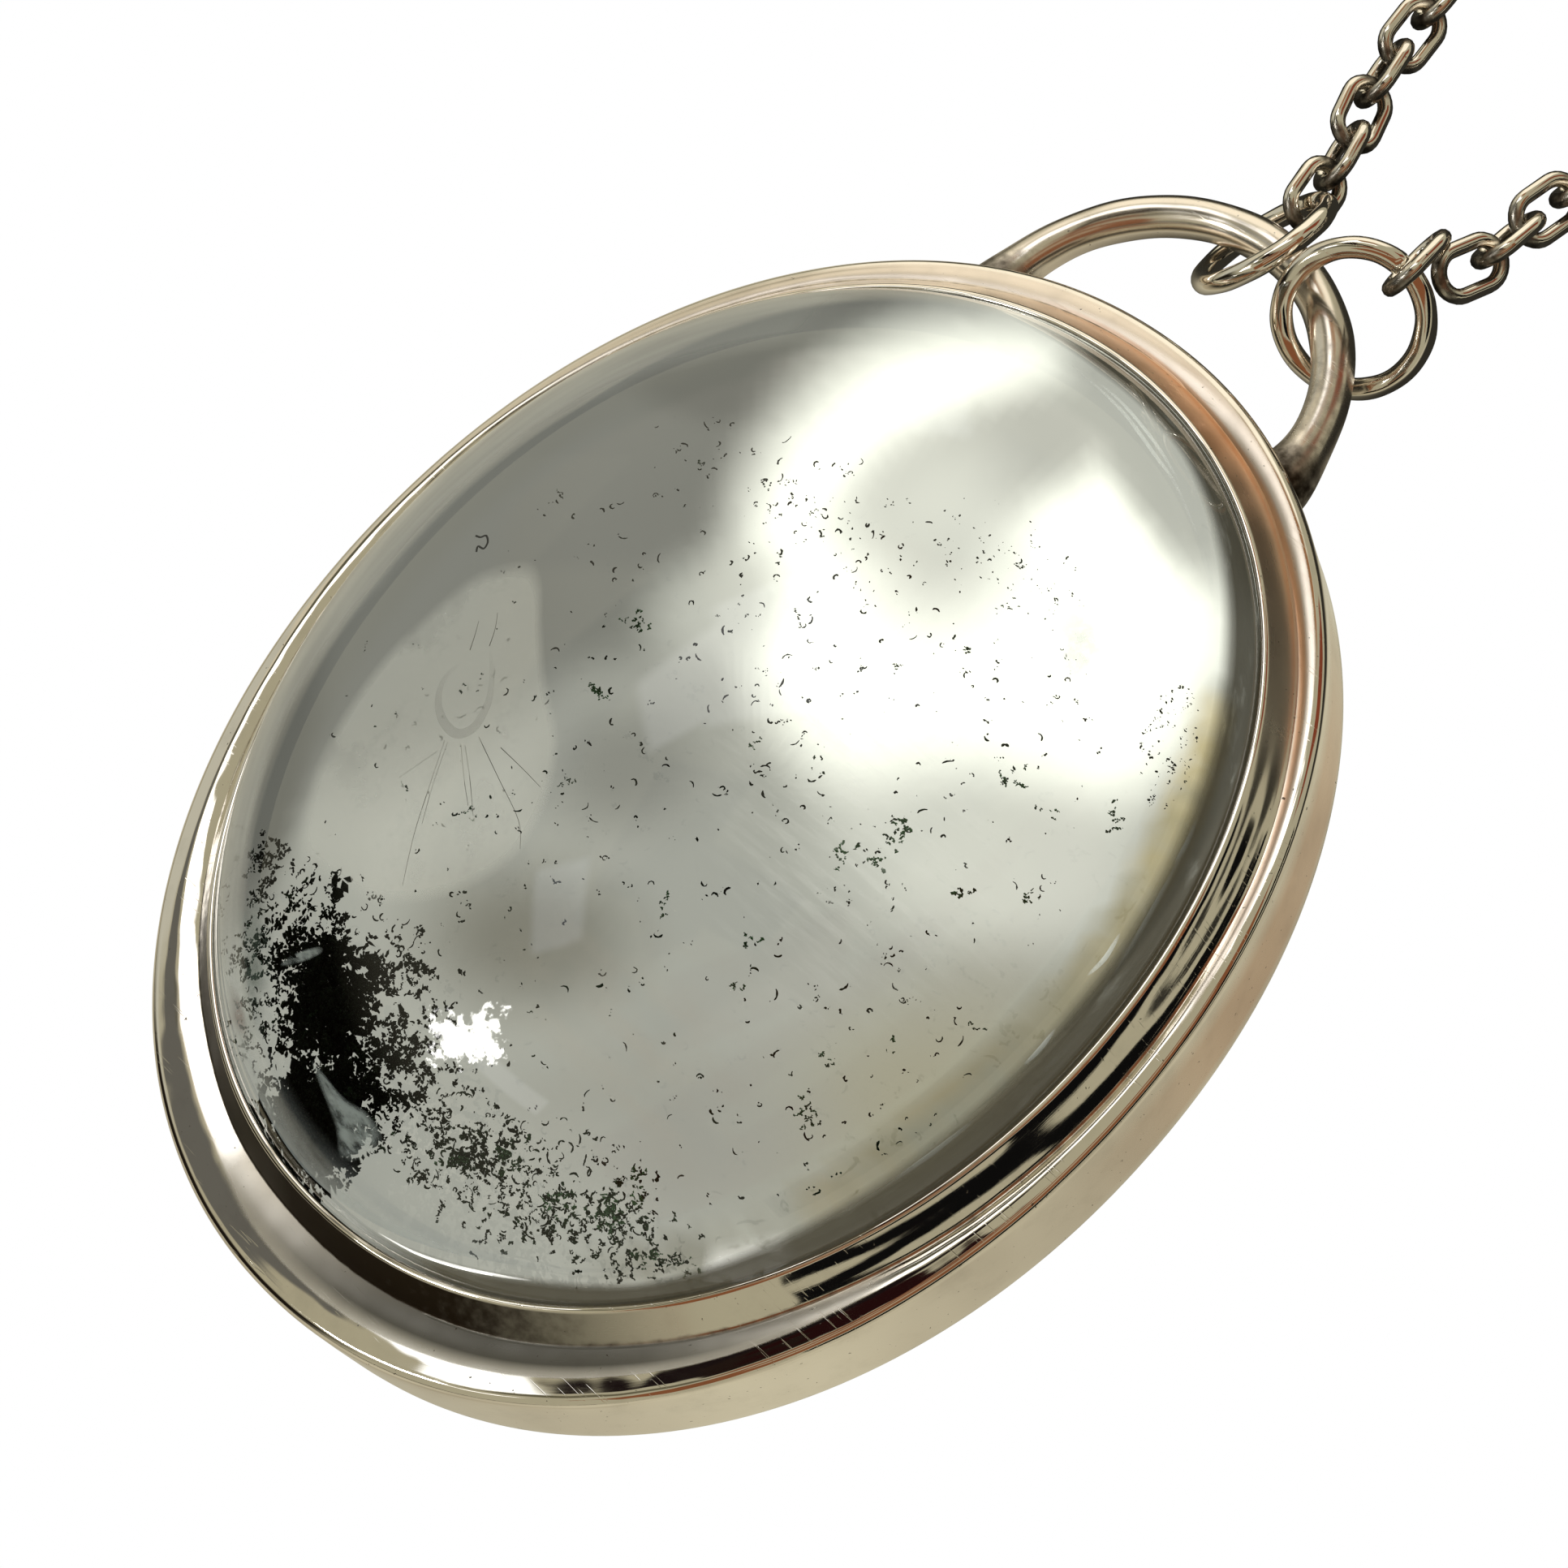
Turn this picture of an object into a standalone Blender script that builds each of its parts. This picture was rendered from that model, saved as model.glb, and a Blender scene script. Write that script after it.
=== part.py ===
"""A phantom quartz pendant on a fine cable chain, lying on its back with the chain laid out as a loop.

Units are metres. +Z points out of the stone's face, +Y from the stone towards its bail. The pieces are
modelled round the middle of the pendant's back and hang on one empty, which puts the middle of the
whole necklace's footprint at the world origin.
"""
import math

import bmesh
import bpy
from mathutils import Matrix, Vector

# Gaps between the pieces
SEAT_GAP = 0.0003          # between the stone and its seat, and between faces that meet
LOOSE_GAP = 0.0001         # least room between links that hang in each other

# The oval frame
FRAME_WIDTH = 0.0295
FRAME_LENGTH = 0.0350
FRAME_HEIGHT = 0.0030      # back to the ridge where the front face meets the outer wall
RIDGE_ROUND = 0.00032
BACK_CHAMFER = 0.00015
FACE_CROWN = 0.00007       # how far the front face bulges
OVAL_FULLNESS = 2.06       # 2 is an ellipse, more is squarer

# The frame's width between its outer oval and the stone's seat
SIDE_WALL = 0.00125
BAIL_END_WALL = 0.00133
FOOT_WALL = 0.00227

# The stone's seat in the frame, and the lip turned over it
LEDGE_WIDTH = 0.0012
LEDGE_THICKNESS = 0.0008
GIRDLE_HEIGHT = 0.0011     # the stone's upright edge, above the ledge
DOME_HEIGHT = 0.0078       # above the girdle
DOME_FULLNESS = 2.05
LIP_RISE = 0.00075         # lip above the ridge
LIP_WIDTH = 0.00020
GROOVE_WIDTH = 0.00062     # stone to the foot of the lip's outer slope
GROOVE_DEPTH = 0.00008     # under the ridge

# The bail loop, soldered to the frame's top end
BAIL_WIRE = 0.0012
BAIL_RADIUS = 0.00545      # middle of the wire
BAIL_SET_BACK = 0.00115    # the bail's centre, inside the frame's top edge

# The jump rings
RING_WIRE = 0.00062
RING_PLAY = 0.00216        # room inside a ring beside the bail's wire
# name, place on the bail (degrees from +X), shift outward and up (shares of the play), axis of the ring
JUMP_RINGS = (
    ("left", 88.4, -0.050, 0.093, (-0.66, 0.18, 0.73)),
    ("right", 50.3, 0.323, 0.186, (0.415, -0.666, 0.62)),
)

# The cable chain
LINK_WIRE = 0.00044
LINK_LENGTH = 0.0025
LINKS_MODELLED = 5         # on each side, the links that show near the pendant
LINK_ROLL = math.radians(45.0)
RING_DROP = (0.62, 0.28)   # shares of the jump ring's height left at the route's first points

# The clasp, hidden at the back of the neck
CLASP_DIAMETER = 0.0060
CLASP_WIRE = 0.0011
EYE_DIAMETER = 0.0030
EYE_WIRE = 0.0007

# The chain's way round, chosen by hand: along the loop's axis and to its left
LOOP_START = (0.0013, 0.0056)   # from the middle of the frame's bail end
LOOP_TURN = math.radians(83.0)
LEFT_ROUTE = (
    (0.0020, 0.0019), (0.0045, 0.0031), (0.0080, 0.0040), (0.0140, 0.0050), (0.0300, 0.0083),
    (0.0600, 0.0158), (0.1000, 0.0252), (0.1350, 0.0315), (0.1600, 0.0322), (0.1800, 0.0277),
    (0.1950, 0.0187), (0.2030, 0.0099),
)
RIGHT_ROUTE = (
    (0.0012, -0.0041), (0.0040, -0.0039), (0.0080, -0.0041), (0.0140, -0.0050), (0.0300, -0.0083),
    (0.0600, -0.0158), (0.1000, -0.0252), (0.1350, -0.0315), (0.1600, -0.0322), (0.1800, -0.0277),
    (0.1950, -0.0187), (0.2030, -0.0106),
)
CLASP_PLACE = (0.2056, 0.0012)

# Colours, and how rough the polish is
SILVER = (0.79, 0.75, 0.68)
QUARTZ = (0.86, 0.89, 0.87)
SETTING_POLISH = 0.16
WIRE_POLISH = 0.22
STONE_POLISH = 0.03

# Faces
OVAL_STEPS = 72
STONE_STEPS = 48
DOME_STEPS = 10
RING_STEPS = 16
LINK_BEND_STEPS = 6
RIDGE_STEPS = 3
FACE_SHARES = (0.0, 0.35, 0.7, 1.0)
ROUTE_STEPS = 24
RING_SIDES = 8
CLASP_STEPS = 24
LINK_SIDES = 6
BAIL_STEPS = 24
BAIL_SIDES = 12
TUBE_POINTS = 40

# Worked out from the sizes above
STONE_WIDTH = FRAME_WIDTH - 2 * SIDE_WALL
STONE_LENGTH = FRAME_LENGTH - BAIL_END_WALL - FOOT_WALL
STONE_SHIFT = (FOOT_WALL - BAIL_END_WALL) / 2
GIRDLE_TOP = LEDGE_THICKNESS + GIRDLE_HEIGHT
LIP_TOP = FRAME_HEIGHT + LIP_RISE
RING_RADIUS = (BAIL_WIRE + RING_PLAY + RING_WIRE) / 2
LINK_WIDTH = RING_WIRE + 2 * LOOSE_GAP + 2 * LINK_WIRE
LINK_PITCH = LINK_LENGTH - 2 * LINK_WIRE - LOOSE_GAP
CHAIN_RADIUS = LINK_WIDTH / 2
LINK_LYING = (LINK_WIDTH - LINK_WIRE) / 2 * math.sin(LINK_ROLL) + LINK_WIRE / 2
BAIL_CENTRE = Vector((0.0, FRAME_LENGTH / 2 - BAIL_SET_BACK, FRAME_HEIGHT / 2))


def signed_power(value, power):
    return math.copysign(abs(value) ** power, value)


def oval_point(half_width, half_length, turn, height, shift=0.0):
    """A point on a slightly squared oval, at a turn in radians from +X."""
    power = 2 / OVAL_FULLNESS
    x = half_width * signed_power(math.cos(turn), power)
    y = half_length * signed_power(math.sin(turn), power)
    return Vector((x, y + shift, height))


def dome_share(height):
    """How much of the seat's oval the stone still has at a height above the girdle."""
    rise = max(0.0, height - GIRDLE_TOP) / DOME_HEIGHT
    return (1 - rise ** DOME_FULLNESS) ** (1 / DOME_FULLNESS)


def seat_point(turn, height, outward=0.0):
    """A point on the stone's side of the setting, which follows the dome above the girdle."""
    share = dome_share(height)
    return oval_point(STONE_WIDTH / 2 * share + outward, STONE_LENGTH / 2 * share + outward,
                      turn, height, STONE_SHIFT)


def rim_point(turn, height, outward=0.0):
    """A point on the frame's outer oval."""
    return oval_point(FRAME_WIDTH / 2 + outward, FRAME_LENGTH / 2 + outward, turn, height)


def face_point(turn, share):
    """A point on the front face, from the groove (0) to the ridge (1), with its slight bulge."""
    inner = seat_point(turn, FRAME_HEIGHT - GROOVE_DEPTH, GROOVE_WIDTH)
    outer = rim_point(turn, FRAME_HEIGHT, -RIDGE_ROUND)
    point = inner.lerp(outer, share)
    point.z += FACE_CROWN * 4 * share * (1 - share)
    return point


def frame_section(turn):
    """The frame's section at one turn, from the ledge's back edge over the lip to the outer wall."""
    points = [
        seat_point(turn, 0.0, -LEDGE_WIDTH),
        seat_point(turn, LEDGE_THICKNESS, -LEDGE_WIDTH),
        seat_point(turn, LEDGE_THICKNESS),
        seat_point(turn, GIRDLE_TOP),
        seat_point(turn, (GIRDLE_TOP + LIP_TOP) / 2),
        seat_point(turn, LIP_TOP),
        seat_point(turn, LIP_TOP, LIP_WIDTH),
        seat_point(turn, (FRAME_HEIGHT + LIP_TOP) / 2, (LIP_WIDTH + GROOVE_WIDTH) / 2),
    ]
    points += [face_point(turn, share) for share in FACE_SHARES]
    for step in range(1, RIDGE_STEPS + 1):
        bend = math.pi / 2 * step / RIDGE_STEPS
        outward = RIDGE_ROUND * (math.sin(bend) - 1)
        points.append(rim_point(turn, FRAME_HEIGHT - RIDGE_ROUND * (1 - math.cos(bend)), outward))
    points.append(rim_point(turn, BACK_CHAMFER))
    points.append(rim_point(turn, 0.0, -BACK_CHAMFER))
    return points


def finish_mesh(name, work, material, sharp=30.0):
    """Turns a bmesh into a named object, shaded smooth between edges sharper than so many degrees."""
    bmesh.ops.recalc_face_normals(work, faces=work.faces)
    mesh = bpy.data.meshes.new(name)
    work.to_mesh(mesh)
    work.free()
    mesh.shade_smooth()
    mesh.set_sharp_from_angle(angle=math.radians(sharp))
    thing = bpy.data.objects.new(name, mesh)
    bpy.context.collection.objects.link(thing)
    mesh.materials.append(material)
    return thing


def silver(name, roughness):
    """Polished silver for one piece."""
    return make_material(name + "_silver", SILVER, 1.0, roughness, 0.0)


def make_material(name, colour, metallic, roughness, transmission):
    material = bpy.data.materials.new(name)
    material.use_nodes = True
    shader = material.node_tree.nodes["Principled BSDF"]
    shader.inputs["Base Color"].default_value = (*colour, 1.0)
    shader.inputs["Metallic"].default_value = metallic
    shader.inputs["Roughness"].default_value = roughness
    shader.inputs["Transmission Weight"].default_value = transmission
    return material


def skin_loops(work, loops, closed):
    """Joins equal loops of points with quads, round to the first again where closed."""
    rows = [[work.verts.new(point) for point in loop] for loop in loops]
    count = len(rows[0])
    last = len(rows) if closed else len(rows) - 1
    for i in range(last):
        row, following = rows[i], rows[(i + 1) % len(rows)]
        for j in range(count):
            k = (j + 1) % count
            work.faces.new((row[j], row[k], following[k], following[j]))
    return rows


def wire_loops(path, tangents, radius, sides):
    """Rings of points round a path that stays level."""
    side = Vector((0, 0, 1))
    loops = []
    for point, tangent in zip(path, tangents):
        across = tangent.cross(side).normalized()
        loop = []
        for j in range(sides):
            turn = 2 * math.pi * j / sides
            loop.append(point + radius * (math.cos(turn) * across + math.sin(turn) * side))
        loops.append(loop)
    return loops


def closed_wire(work, path, radius, sides):
    """A closed loop of wire through the points of a path in the XY plane."""
    tangents = []
    for i in range(len(path)):
        tangents.append((path[(i + 1) % len(path)] - path[i - 1]).normalized())
    skin_loops(work, wire_loops(path, tangents, radius, sides), closed=True)


def circle_path(radius, steps):
    turns = [2 * math.pi * i / steps for i in range(steps)]
    return [Vector((radius * math.cos(turn), radius * math.sin(turn), 0.0)) for turn in turns]


def link_path():
    """The middle of a link's wire: two straight sides along X and two round ends."""
    bend = (LINK_WIDTH - LINK_WIRE) / 2
    straight = (LINK_LENGTH - LINK_WIRE) / 2 - bend
    points = []
    for end, start in ((1, -math.pi / 2), (-1, math.pi / 2)):
        for step in range(LINK_BEND_STEPS + 1):
            turn = start + math.pi * step / LINK_BEND_STEPS
            points.append(Vector((end * straight + bend * math.cos(turn), bend * math.sin(turn), 0.0)))
    return points


def place_across(point, axis, along):
    """A matrix that puts a flat piece's Z on `axis` and its X nearest to `along`."""
    up = axis.normalized()
    side = (along - along.dot(up) * up).normalized()
    return Matrix((
        (side.x, up.cross(side).x, up.x, point.x),
        (side.y, up.cross(side).y, up.y, point.y),
        (side.z, up.cross(side).z, up.z, point.z),
        (0.0, 0.0, 0.0, 1.0),
    ))


def join_solids(name, base, extra):
    """Fuses a second solid into the first, which keeps its name."""
    union = base.modifiers.new("soldered_on", "BOOLEAN")
    union.operation = "UNION"
    union.solver = "EXACT"
    union.object = extra
    extra.hide_render = True
    extra.display_type = "WIRE"
    extra.name = name + "_extra"


def bail_angle_in_wall():
    """How far past level the bail's wire runs, so that it ends in the middle of the frame's wall."""
    def depth(turn):
        spot = BAIL_CENTRE + BAIL_RADIUS * Vector((math.cos(turn), math.sin(turn), 0.0))
        toward = math.atan2(spot.y / FRAME_LENGTH, spot.x / FRAME_WIDTH)
        outer = rim_point(toward, spot.z)
        inner = seat_point(toward, spot.z)
        middle = outer.lerp(inner, 0.5)
        return spot.xy.length - middle.xy.length

    high, low = math.radians(40.0), math.radians(-60.0)
    for _ in range(40):
        middle = (high + low) / 2
        if depth(middle) > 0:
            high = middle
        else:
            low = middle
    return low


def make_bezel_setting():
    """The frame with its lip and ledge, and the bail soldered to its top end."""
    work = bmesh.new()
    sections = [frame_section(2 * math.pi * i / OVAL_STEPS) for i in range(OVAL_STEPS)]
    skin_loops(work, sections, closed=True)
    frame = finish_mesh("bezel_setting", work, silver("setting", SETTING_POLISH))

    work = bmesh.new()
    start = bail_angle_in_wall()
    path, tangents = [], []
    for i in range(BAIL_STEPS + 1):
        turn = start + (math.pi - 2 * start) * i / BAIL_STEPS
        path.append(BAIL_CENTRE + BAIL_RADIUS * Vector((math.cos(turn), math.sin(turn), 0.0)))
        tangents.append(Vector((-math.sin(turn), math.cos(turn), 0.0)))
    rows = skin_loops(work, wire_loops(path, tangents, BAIL_WIRE / 2, BAIL_SIDES), closed=False)
    work.faces.new(rows[0])
    work.faces.new(rows[-1])
    bail = finish_mesh("bail", work, silver("bail", SETTING_POLISH))
    join_solids("bezel_setting", frame, bail)
    return [frame, bail]


def make_stone():
    """The high-domed cabochon, a gap clear of its seat all round."""
    bottom = LEDGE_THICKNESS + SEAT_GAP
    edge = SEAT_GAP
    heights = [bottom, bottom + edge, GIRDLE_TOP]
    insets = [SEAT_GAP + edge, SEAT_GAP, SEAT_GAP]
    for i in range(1, DOME_STEPS):
        bend = math.pi / 2 * i / DOME_STEPS
        heights.append(GIRDLE_TOP + DOME_HEIGHT * math.sin(bend))
        insets.append(SEAT_GAP * math.cos(bend))
    work = bmesh.new()
    loops = []
    for height, inset in zip(heights, insets):
        loops.append([seat_point(2 * math.pi * i / STONE_STEPS, height, -inset) for i in range(STONE_STEPS)])
    rows = skin_loops(work, loops, closed=False)
    work.faces.new(rows[0])
    top = work.verts.new((0.0, STONE_SHIFT, GIRDLE_TOP + DOME_HEIGHT))
    for i in range(STONE_STEPS):
        work.faces.new((rows[-1][i], rows[-1][(i + 1) % STONE_STEPS], top))
    return finish_mesh("quartz_stone", work, make_material("quartz", QUARTZ, 0.0, STONE_POLISH, 1.0),
                       sharp=50.0)


def ring_place(row):
    """A jump ring's middle and axis, from the place on the bail where it hangs."""
    _, degrees, outward, upward, axis = row
    turn = math.radians(degrees)
    radius = BAIL_RADIUS + outward * RING_PLAY
    middle = BAIL_CENTRE + radius * Vector((math.cos(turn), math.sin(turn), 0.0))
    middle.z += upward * RING_PLAY
    return middle, Vector(axis).normalized()


def make_jump_ring(row):
    middle, axis = ring_place(row)
    work = bmesh.new()
    closed_wire(work, circle_path(RING_RADIUS, RING_STEPS), RING_WIRE / 2, RING_SIDES)
    name = "jump_ring_" + row[0]
    ring = finish_mesh(name, work, silver(name, WIRE_POLISH), sharp=60.0)
    ring.matrix_world = place_across(middle, axis, Vector((0, 1, 0)))
    return ring


def loop_point(spot, height):
    """A point of the chain's route, from its place along the loop's axis and to the left of it."""
    along, left = spot
    axis = Vector((math.cos(LOOP_TURN), math.sin(LOOP_TURN)))
    side = Vector((-axis.y, axis.x))
    flat = Vector((LOOP_START[0], FRAME_LENGTH / 2 + LOOP_START[1])) + along * axis + left * side
    return Vector((flat.x, flat.y, height))


def smooth_run(points):
    """Points read closely from one smooth curve through the given ones."""
    padded = [2 * points[0] - points[1]] + list(points) + [2 * points[-1] - points[-2]]
    run = []
    for i in range(1, len(padded) - 2):
        before, start, end, after = padded[i - 1:i + 3]
        gaps = [max((b - a).length, 1e-6) ** 0.5 for a, b in ((before, start), (start, end), (end, after))]
        leave = (start - before) / gaps[0] - (end - before) / (gaps[0] + gaps[1]) + (end - start) / gaps[1]
        arrive = (end - start) / gaps[1] - (after - start) / (gaps[1] + gaps[2]) + (after - end) / gaps[2]
        leave *= gaps[1]
        arrive *= gaps[1]
        for step in range(ROUTE_STEPS):
            t = step / ROUTE_STEPS
            run.append(start + t * leave + t * t * (3 * (end - start) - 2 * leave - arrive)
                       + t ** 3 * (2 * (start - end) + leave + arrive))
    run.append(padded[-2])
    return run


class Route:
    """A strand's way from its jump ring to the clasp, read by distance."""

    def __init__(self, points):
        self.run = smooth_run(points)
        self.marks = [0.0]
        for before, after in zip(self.run, self.run[1:]):
            self.marks.append(self.marks[-1] + (after - before).length)

    @property
    def length(self):
        return self.marks[-1]

    def at(self, distance):
        distance = min(max(distance, 0.0), self.length)
        i = 1
        while i < len(self.marks) - 1 and self.marks[i] < distance:
            i += 1
        span = self.marks[i] - self.marks[i - 1]
        return self.run[i - 1].lerp(self.run[i], (distance - self.marks[i - 1]) / span)

    def heading(self, distance):
        step = LINK_PITCH / 2
        return (self.at(distance + step) - self.at(distance - step)).normalized()


def strand_route(row, spots, end_reach, side_sign):
    """One strand's route: out of its ring's far side, down to the surface, round to the clasp."""
    middle, axis = ring_place(row)
    pull = loop_point(spots[1], middle.z) - loop_point(spots[0], middle.z)
    pull = (pull - pull.dot(axis) * axis).normalized()
    ring_end = middle + RING_RADIUS * pull
    points = [ring_end]
    for i, spot in enumerate(spots):
        share = RING_DROP[i] if i < len(RING_DROP) else 0.0
        points.append(loop_point(spot, LINK_LYING + share * (ring_end.z - LINK_LYING)))
    points.append(loop_point((CLASP_PLACE[0], CLASP_PLACE[1] + side_sign * end_reach), LINK_LYING))
    return Route(points), axis.cross(pull)


def link_axis(heading, number, side_sign):
    """The axis of a link, rolled to one side and the other of upright by turns."""
    left = Vector((0, 0, 1)).cross(heading).normalized()
    up = heading.cross(left)
    roll = LINK_ROLL if number % 2 == 0 else -LINK_ROLL
    return math.cos(roll) * up - side_sign * math.sin(roll) * left


def make_links(side, route, ring_tangent, side_sign):
    """The strand's first links, each through the one before, the first square to its jump ring's wire."""
    first = (LINK_LENGTH - LINK_WIRE) / 2 - (LINK_WIRE + RING_WIRE) / 2 - LOOSE_GAP
    links = []
    for number in range(LINKS_MODELLED):
        distance = first + number * LINK_PITCH
        heading = route.heading(distance)
        spot = route.at(distance)
        axis = link_axis(heading, number, side_sign)
        if number == 0:
            axis = ring_tangent
            heading = (heading - heading.dot(axis) * axis).normalized()
            spot = route.at(0.0) + first * heading
        work = bmesh.new()
        closed_wire(work, link_path(), LINK_WIRE / 2, LINK_SIDES)
        name = "link_%s_%d" % (side, number + 1)
        link = finish_mesh(name, work, silver(name, WIRE_POLISH), sharp=60.0)
        link.matrix_world = place_across(spot, axis, heading)
        links.append(link)
    return links, first + (LINKS_MODELLED - 1) * LINK_PITCH


def make_strand(side, route, last_link):
    """The rest of the strand as one round run, from the last modelled link to the clasp."""
    start = last_link + LINK_LENGTH / 2 + SEAT_GAP
    curve = bpy.data.curves.new("chain_" + side, "CURVE")
    curve.dimensions = "3D"
    curve.bevel_depth = CHAIN_RADIUS
    curve.bevel_resolution = 2
    curve.use_fill_caps = True
    curve.resolution_u = 1
    curve.render_resolution_u = 0
    spline = curve.splines.new("POLY")
    spline.points.add(TUBE_POINTS - 1)
    for i, point in enumerate(spline.points):
        distance = start + (route.length - start) * i / (TUBE_POINTS - 1)
        spot = route.at(distance)
        point.co = (spot.x, spot.y, max(spot.z, CHAIN_RADIUS), 1.0)
    strand = bpy.data.objects.new("chain_" + side, curve)
    bpy.context.collection.objects.link(strand)
    curve.materials.append(silver("chain_" + side, WIRE_POLISH))
    return strand


def make_clasp():
    """A plain ring clasp with the eye that the right strand hangs on."""
    work = bmesh.new()
    closed_wire(work, circle_path((CLASP_DIAMETER - CLASP_WIRE) / 2, CLASP_STEPS), CLASP_WIRE / 2, RING_SIDES)
    ring = finish_mesh("clasp", work, silver("clasp", WIRE_POLISH), sharp=60.0)
    place = loop_point(CLASP_PLACE, CLASP_WIRE / 2)
    turn = Matrix.Rotation(LOOP_TURN - math.pi / 2, 4, "Z")
    ring.matrix_world = Matrix.Translation(place) @ turn

    work = bmesh.new()
    closed_wire(work, circle_path((EYE_DIAMETER - EYE_WIRE) / 2, RING_STEPS), EYE_WIRE / 2, RING_SIDES)
    eye = finish_mesh("eye", work, silver("eye", WIRE_POLISH), sharp=60.0)
    eye.matrix_world = Matrix.Translation(place) @ turn @ Matrix.Translation((eye_middle(), 0.0, 0.0))
    join_solids("clasp", ring, eye)
    return [ring, eye]


def eye_middle():
    """The eye's middle, from the clasp's: its wire sinks into the clasp's wire."""
    return CLASP_DIAMETER / 2 + EYE_DIAMETER / 2 - (EYE_WIRE + CLASP_WIRE) / 2 + EYE_WIRE / 4


def centre_footprint(things):
    """Hangs everything on one empty and moves it so the footprint's middle is the world origin."""
    bpy.context.view_layer.update()
    graph = bpy.context.evaluated_depsgraph_get()
    low = Vector((math.inf, math.inf, math.inf))
    high = -low
    for thing in things:
        shape = thing.evaluated_get(graph)
        mesh = shape.to_mesh()
        for vertex in mesh.vertices:
            spot = shape.matrix_world @ vertex.co
            low = Vector(map(min, low, spot))
            high = Vector(map(max, high, spot))
        shape.to_mesh_clear()
    necklace = bpy.data.objects.new("necklace", None)
    bpy.context.collection.objects.link(necklace)
    necklace.location = (-(low.x + high.x) / 2, -(low.y + high.y) / 2, -low.z)
    for thing in things:
        thing.parent = necklace


def main():
    for thing in list(bpy.data.objects):
        bpy.data.objects.remove(thing)
    things = make_bezel_setting()
    things.append(make_stone())
    clasp_reach = CLASP_DIAMETER / 2 + SEAT_GAP
    eye_reach = eye_middle() + EYE_DIAMETER / 2 + SEAT_GAP
    for row, spots, reach, sign in ((JUMP_RINGS[0], LEFT_ROUTE, clasp_reach, 1),
                                    (JUMP_RINGS[1], RIGHT_ROUTE, eye_reach, -1)):
        things.append(make_jump_ring(row))
        route, ring_tangent = strand_route(row, spots, reach, sign)
        links, last_link = make_links(row[0], route, ring_tangent, sign)
        things += links
        things.append(make_strand(row[0], route, last_link))
    things += make_clasp()
    centre_footprint(things)


main()
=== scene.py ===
"""Dresses the phantom quartz pendant: a domed cabochon with green moss inside, in an oval silver
setting with a wire bail, on a fine cable chain laid out as a loop.

The maker's sizes are millimetres, measured from the middle of the pendant's back, +Y to the bail and
+Z out of the stone. Bench turns them into the frame's metres. Places read off the photograph are
pixels of its 1932 x 1932 frame, and PhotoCamera turns them into rays.
"""
from __future__ import annotations

import logging
import math
import random
from dataclasses import dataclass
from enum import Enum
from typing import NamedTuple

import bmesh
import bpy
from mathutils import Matrix, Vector, noise
from mathutils.kdtree import KDTree

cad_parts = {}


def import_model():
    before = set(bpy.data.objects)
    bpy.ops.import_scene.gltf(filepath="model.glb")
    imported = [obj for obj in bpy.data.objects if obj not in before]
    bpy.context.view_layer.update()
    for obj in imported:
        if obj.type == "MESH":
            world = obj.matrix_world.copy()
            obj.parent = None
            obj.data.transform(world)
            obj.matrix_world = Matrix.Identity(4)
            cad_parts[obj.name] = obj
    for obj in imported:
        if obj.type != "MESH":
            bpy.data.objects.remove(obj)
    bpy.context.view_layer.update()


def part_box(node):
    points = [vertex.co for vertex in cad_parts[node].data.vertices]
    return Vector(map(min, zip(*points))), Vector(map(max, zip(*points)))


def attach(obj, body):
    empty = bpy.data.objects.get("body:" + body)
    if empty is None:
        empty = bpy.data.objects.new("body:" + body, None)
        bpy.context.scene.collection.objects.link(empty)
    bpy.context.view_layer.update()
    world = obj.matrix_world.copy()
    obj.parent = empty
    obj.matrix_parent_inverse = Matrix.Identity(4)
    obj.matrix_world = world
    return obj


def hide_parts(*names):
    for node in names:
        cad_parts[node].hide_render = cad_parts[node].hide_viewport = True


MM = 0.001
ROOT = "root"
LOG = logging.getLogger("pendant")

# Short names for the types that most functions hand on
Pixel = tuple[float, float]
Triple = tuple[float, float, float]
Material = bpy.types.Material
Piece = bpy.types.Object
Work = bmesh.types.BMesh


class Slot(Enum):
    """The record's material slots, one of which is handed with each piece."""

    SETTING = "silver"
    CHAIN = "chain_silver"
    STONE = "quartz"


class Side(Enum):
    """The two strands, as seen with the bail up. The value is the sign of their side of the loop's axis."""

    LEFT = 1
    RIGHT = -1

    @property
    def word(self) -> str:
        """The side's name inside node and piece names."""
        return self.name.lower()


@dataclass(frozen=True)
class Bench:
    """Where the pendant lies in the frame."""

    origin: Vector

    @classmethod
    def from_frame(cls, frame_length: float) -> Bench:
        """Finds the middle of the pendant's back from the solid setting.

        Args:
            frame_length: The oval frame's length in millimetres.

        Returns:
            The bench whose zero is the middle of the frame's back.
        """
        low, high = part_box("bezel_setting")
        return cls(Vector(((low.x + high.x) / 2, low.y + frame_length * MM / 2, low.z)))

    def at(self, point: Vector) -> Vector:
        """A point in millimetres from the pendant's middle, in the frame's metres."""
        return self.origin + MM * point


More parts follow.
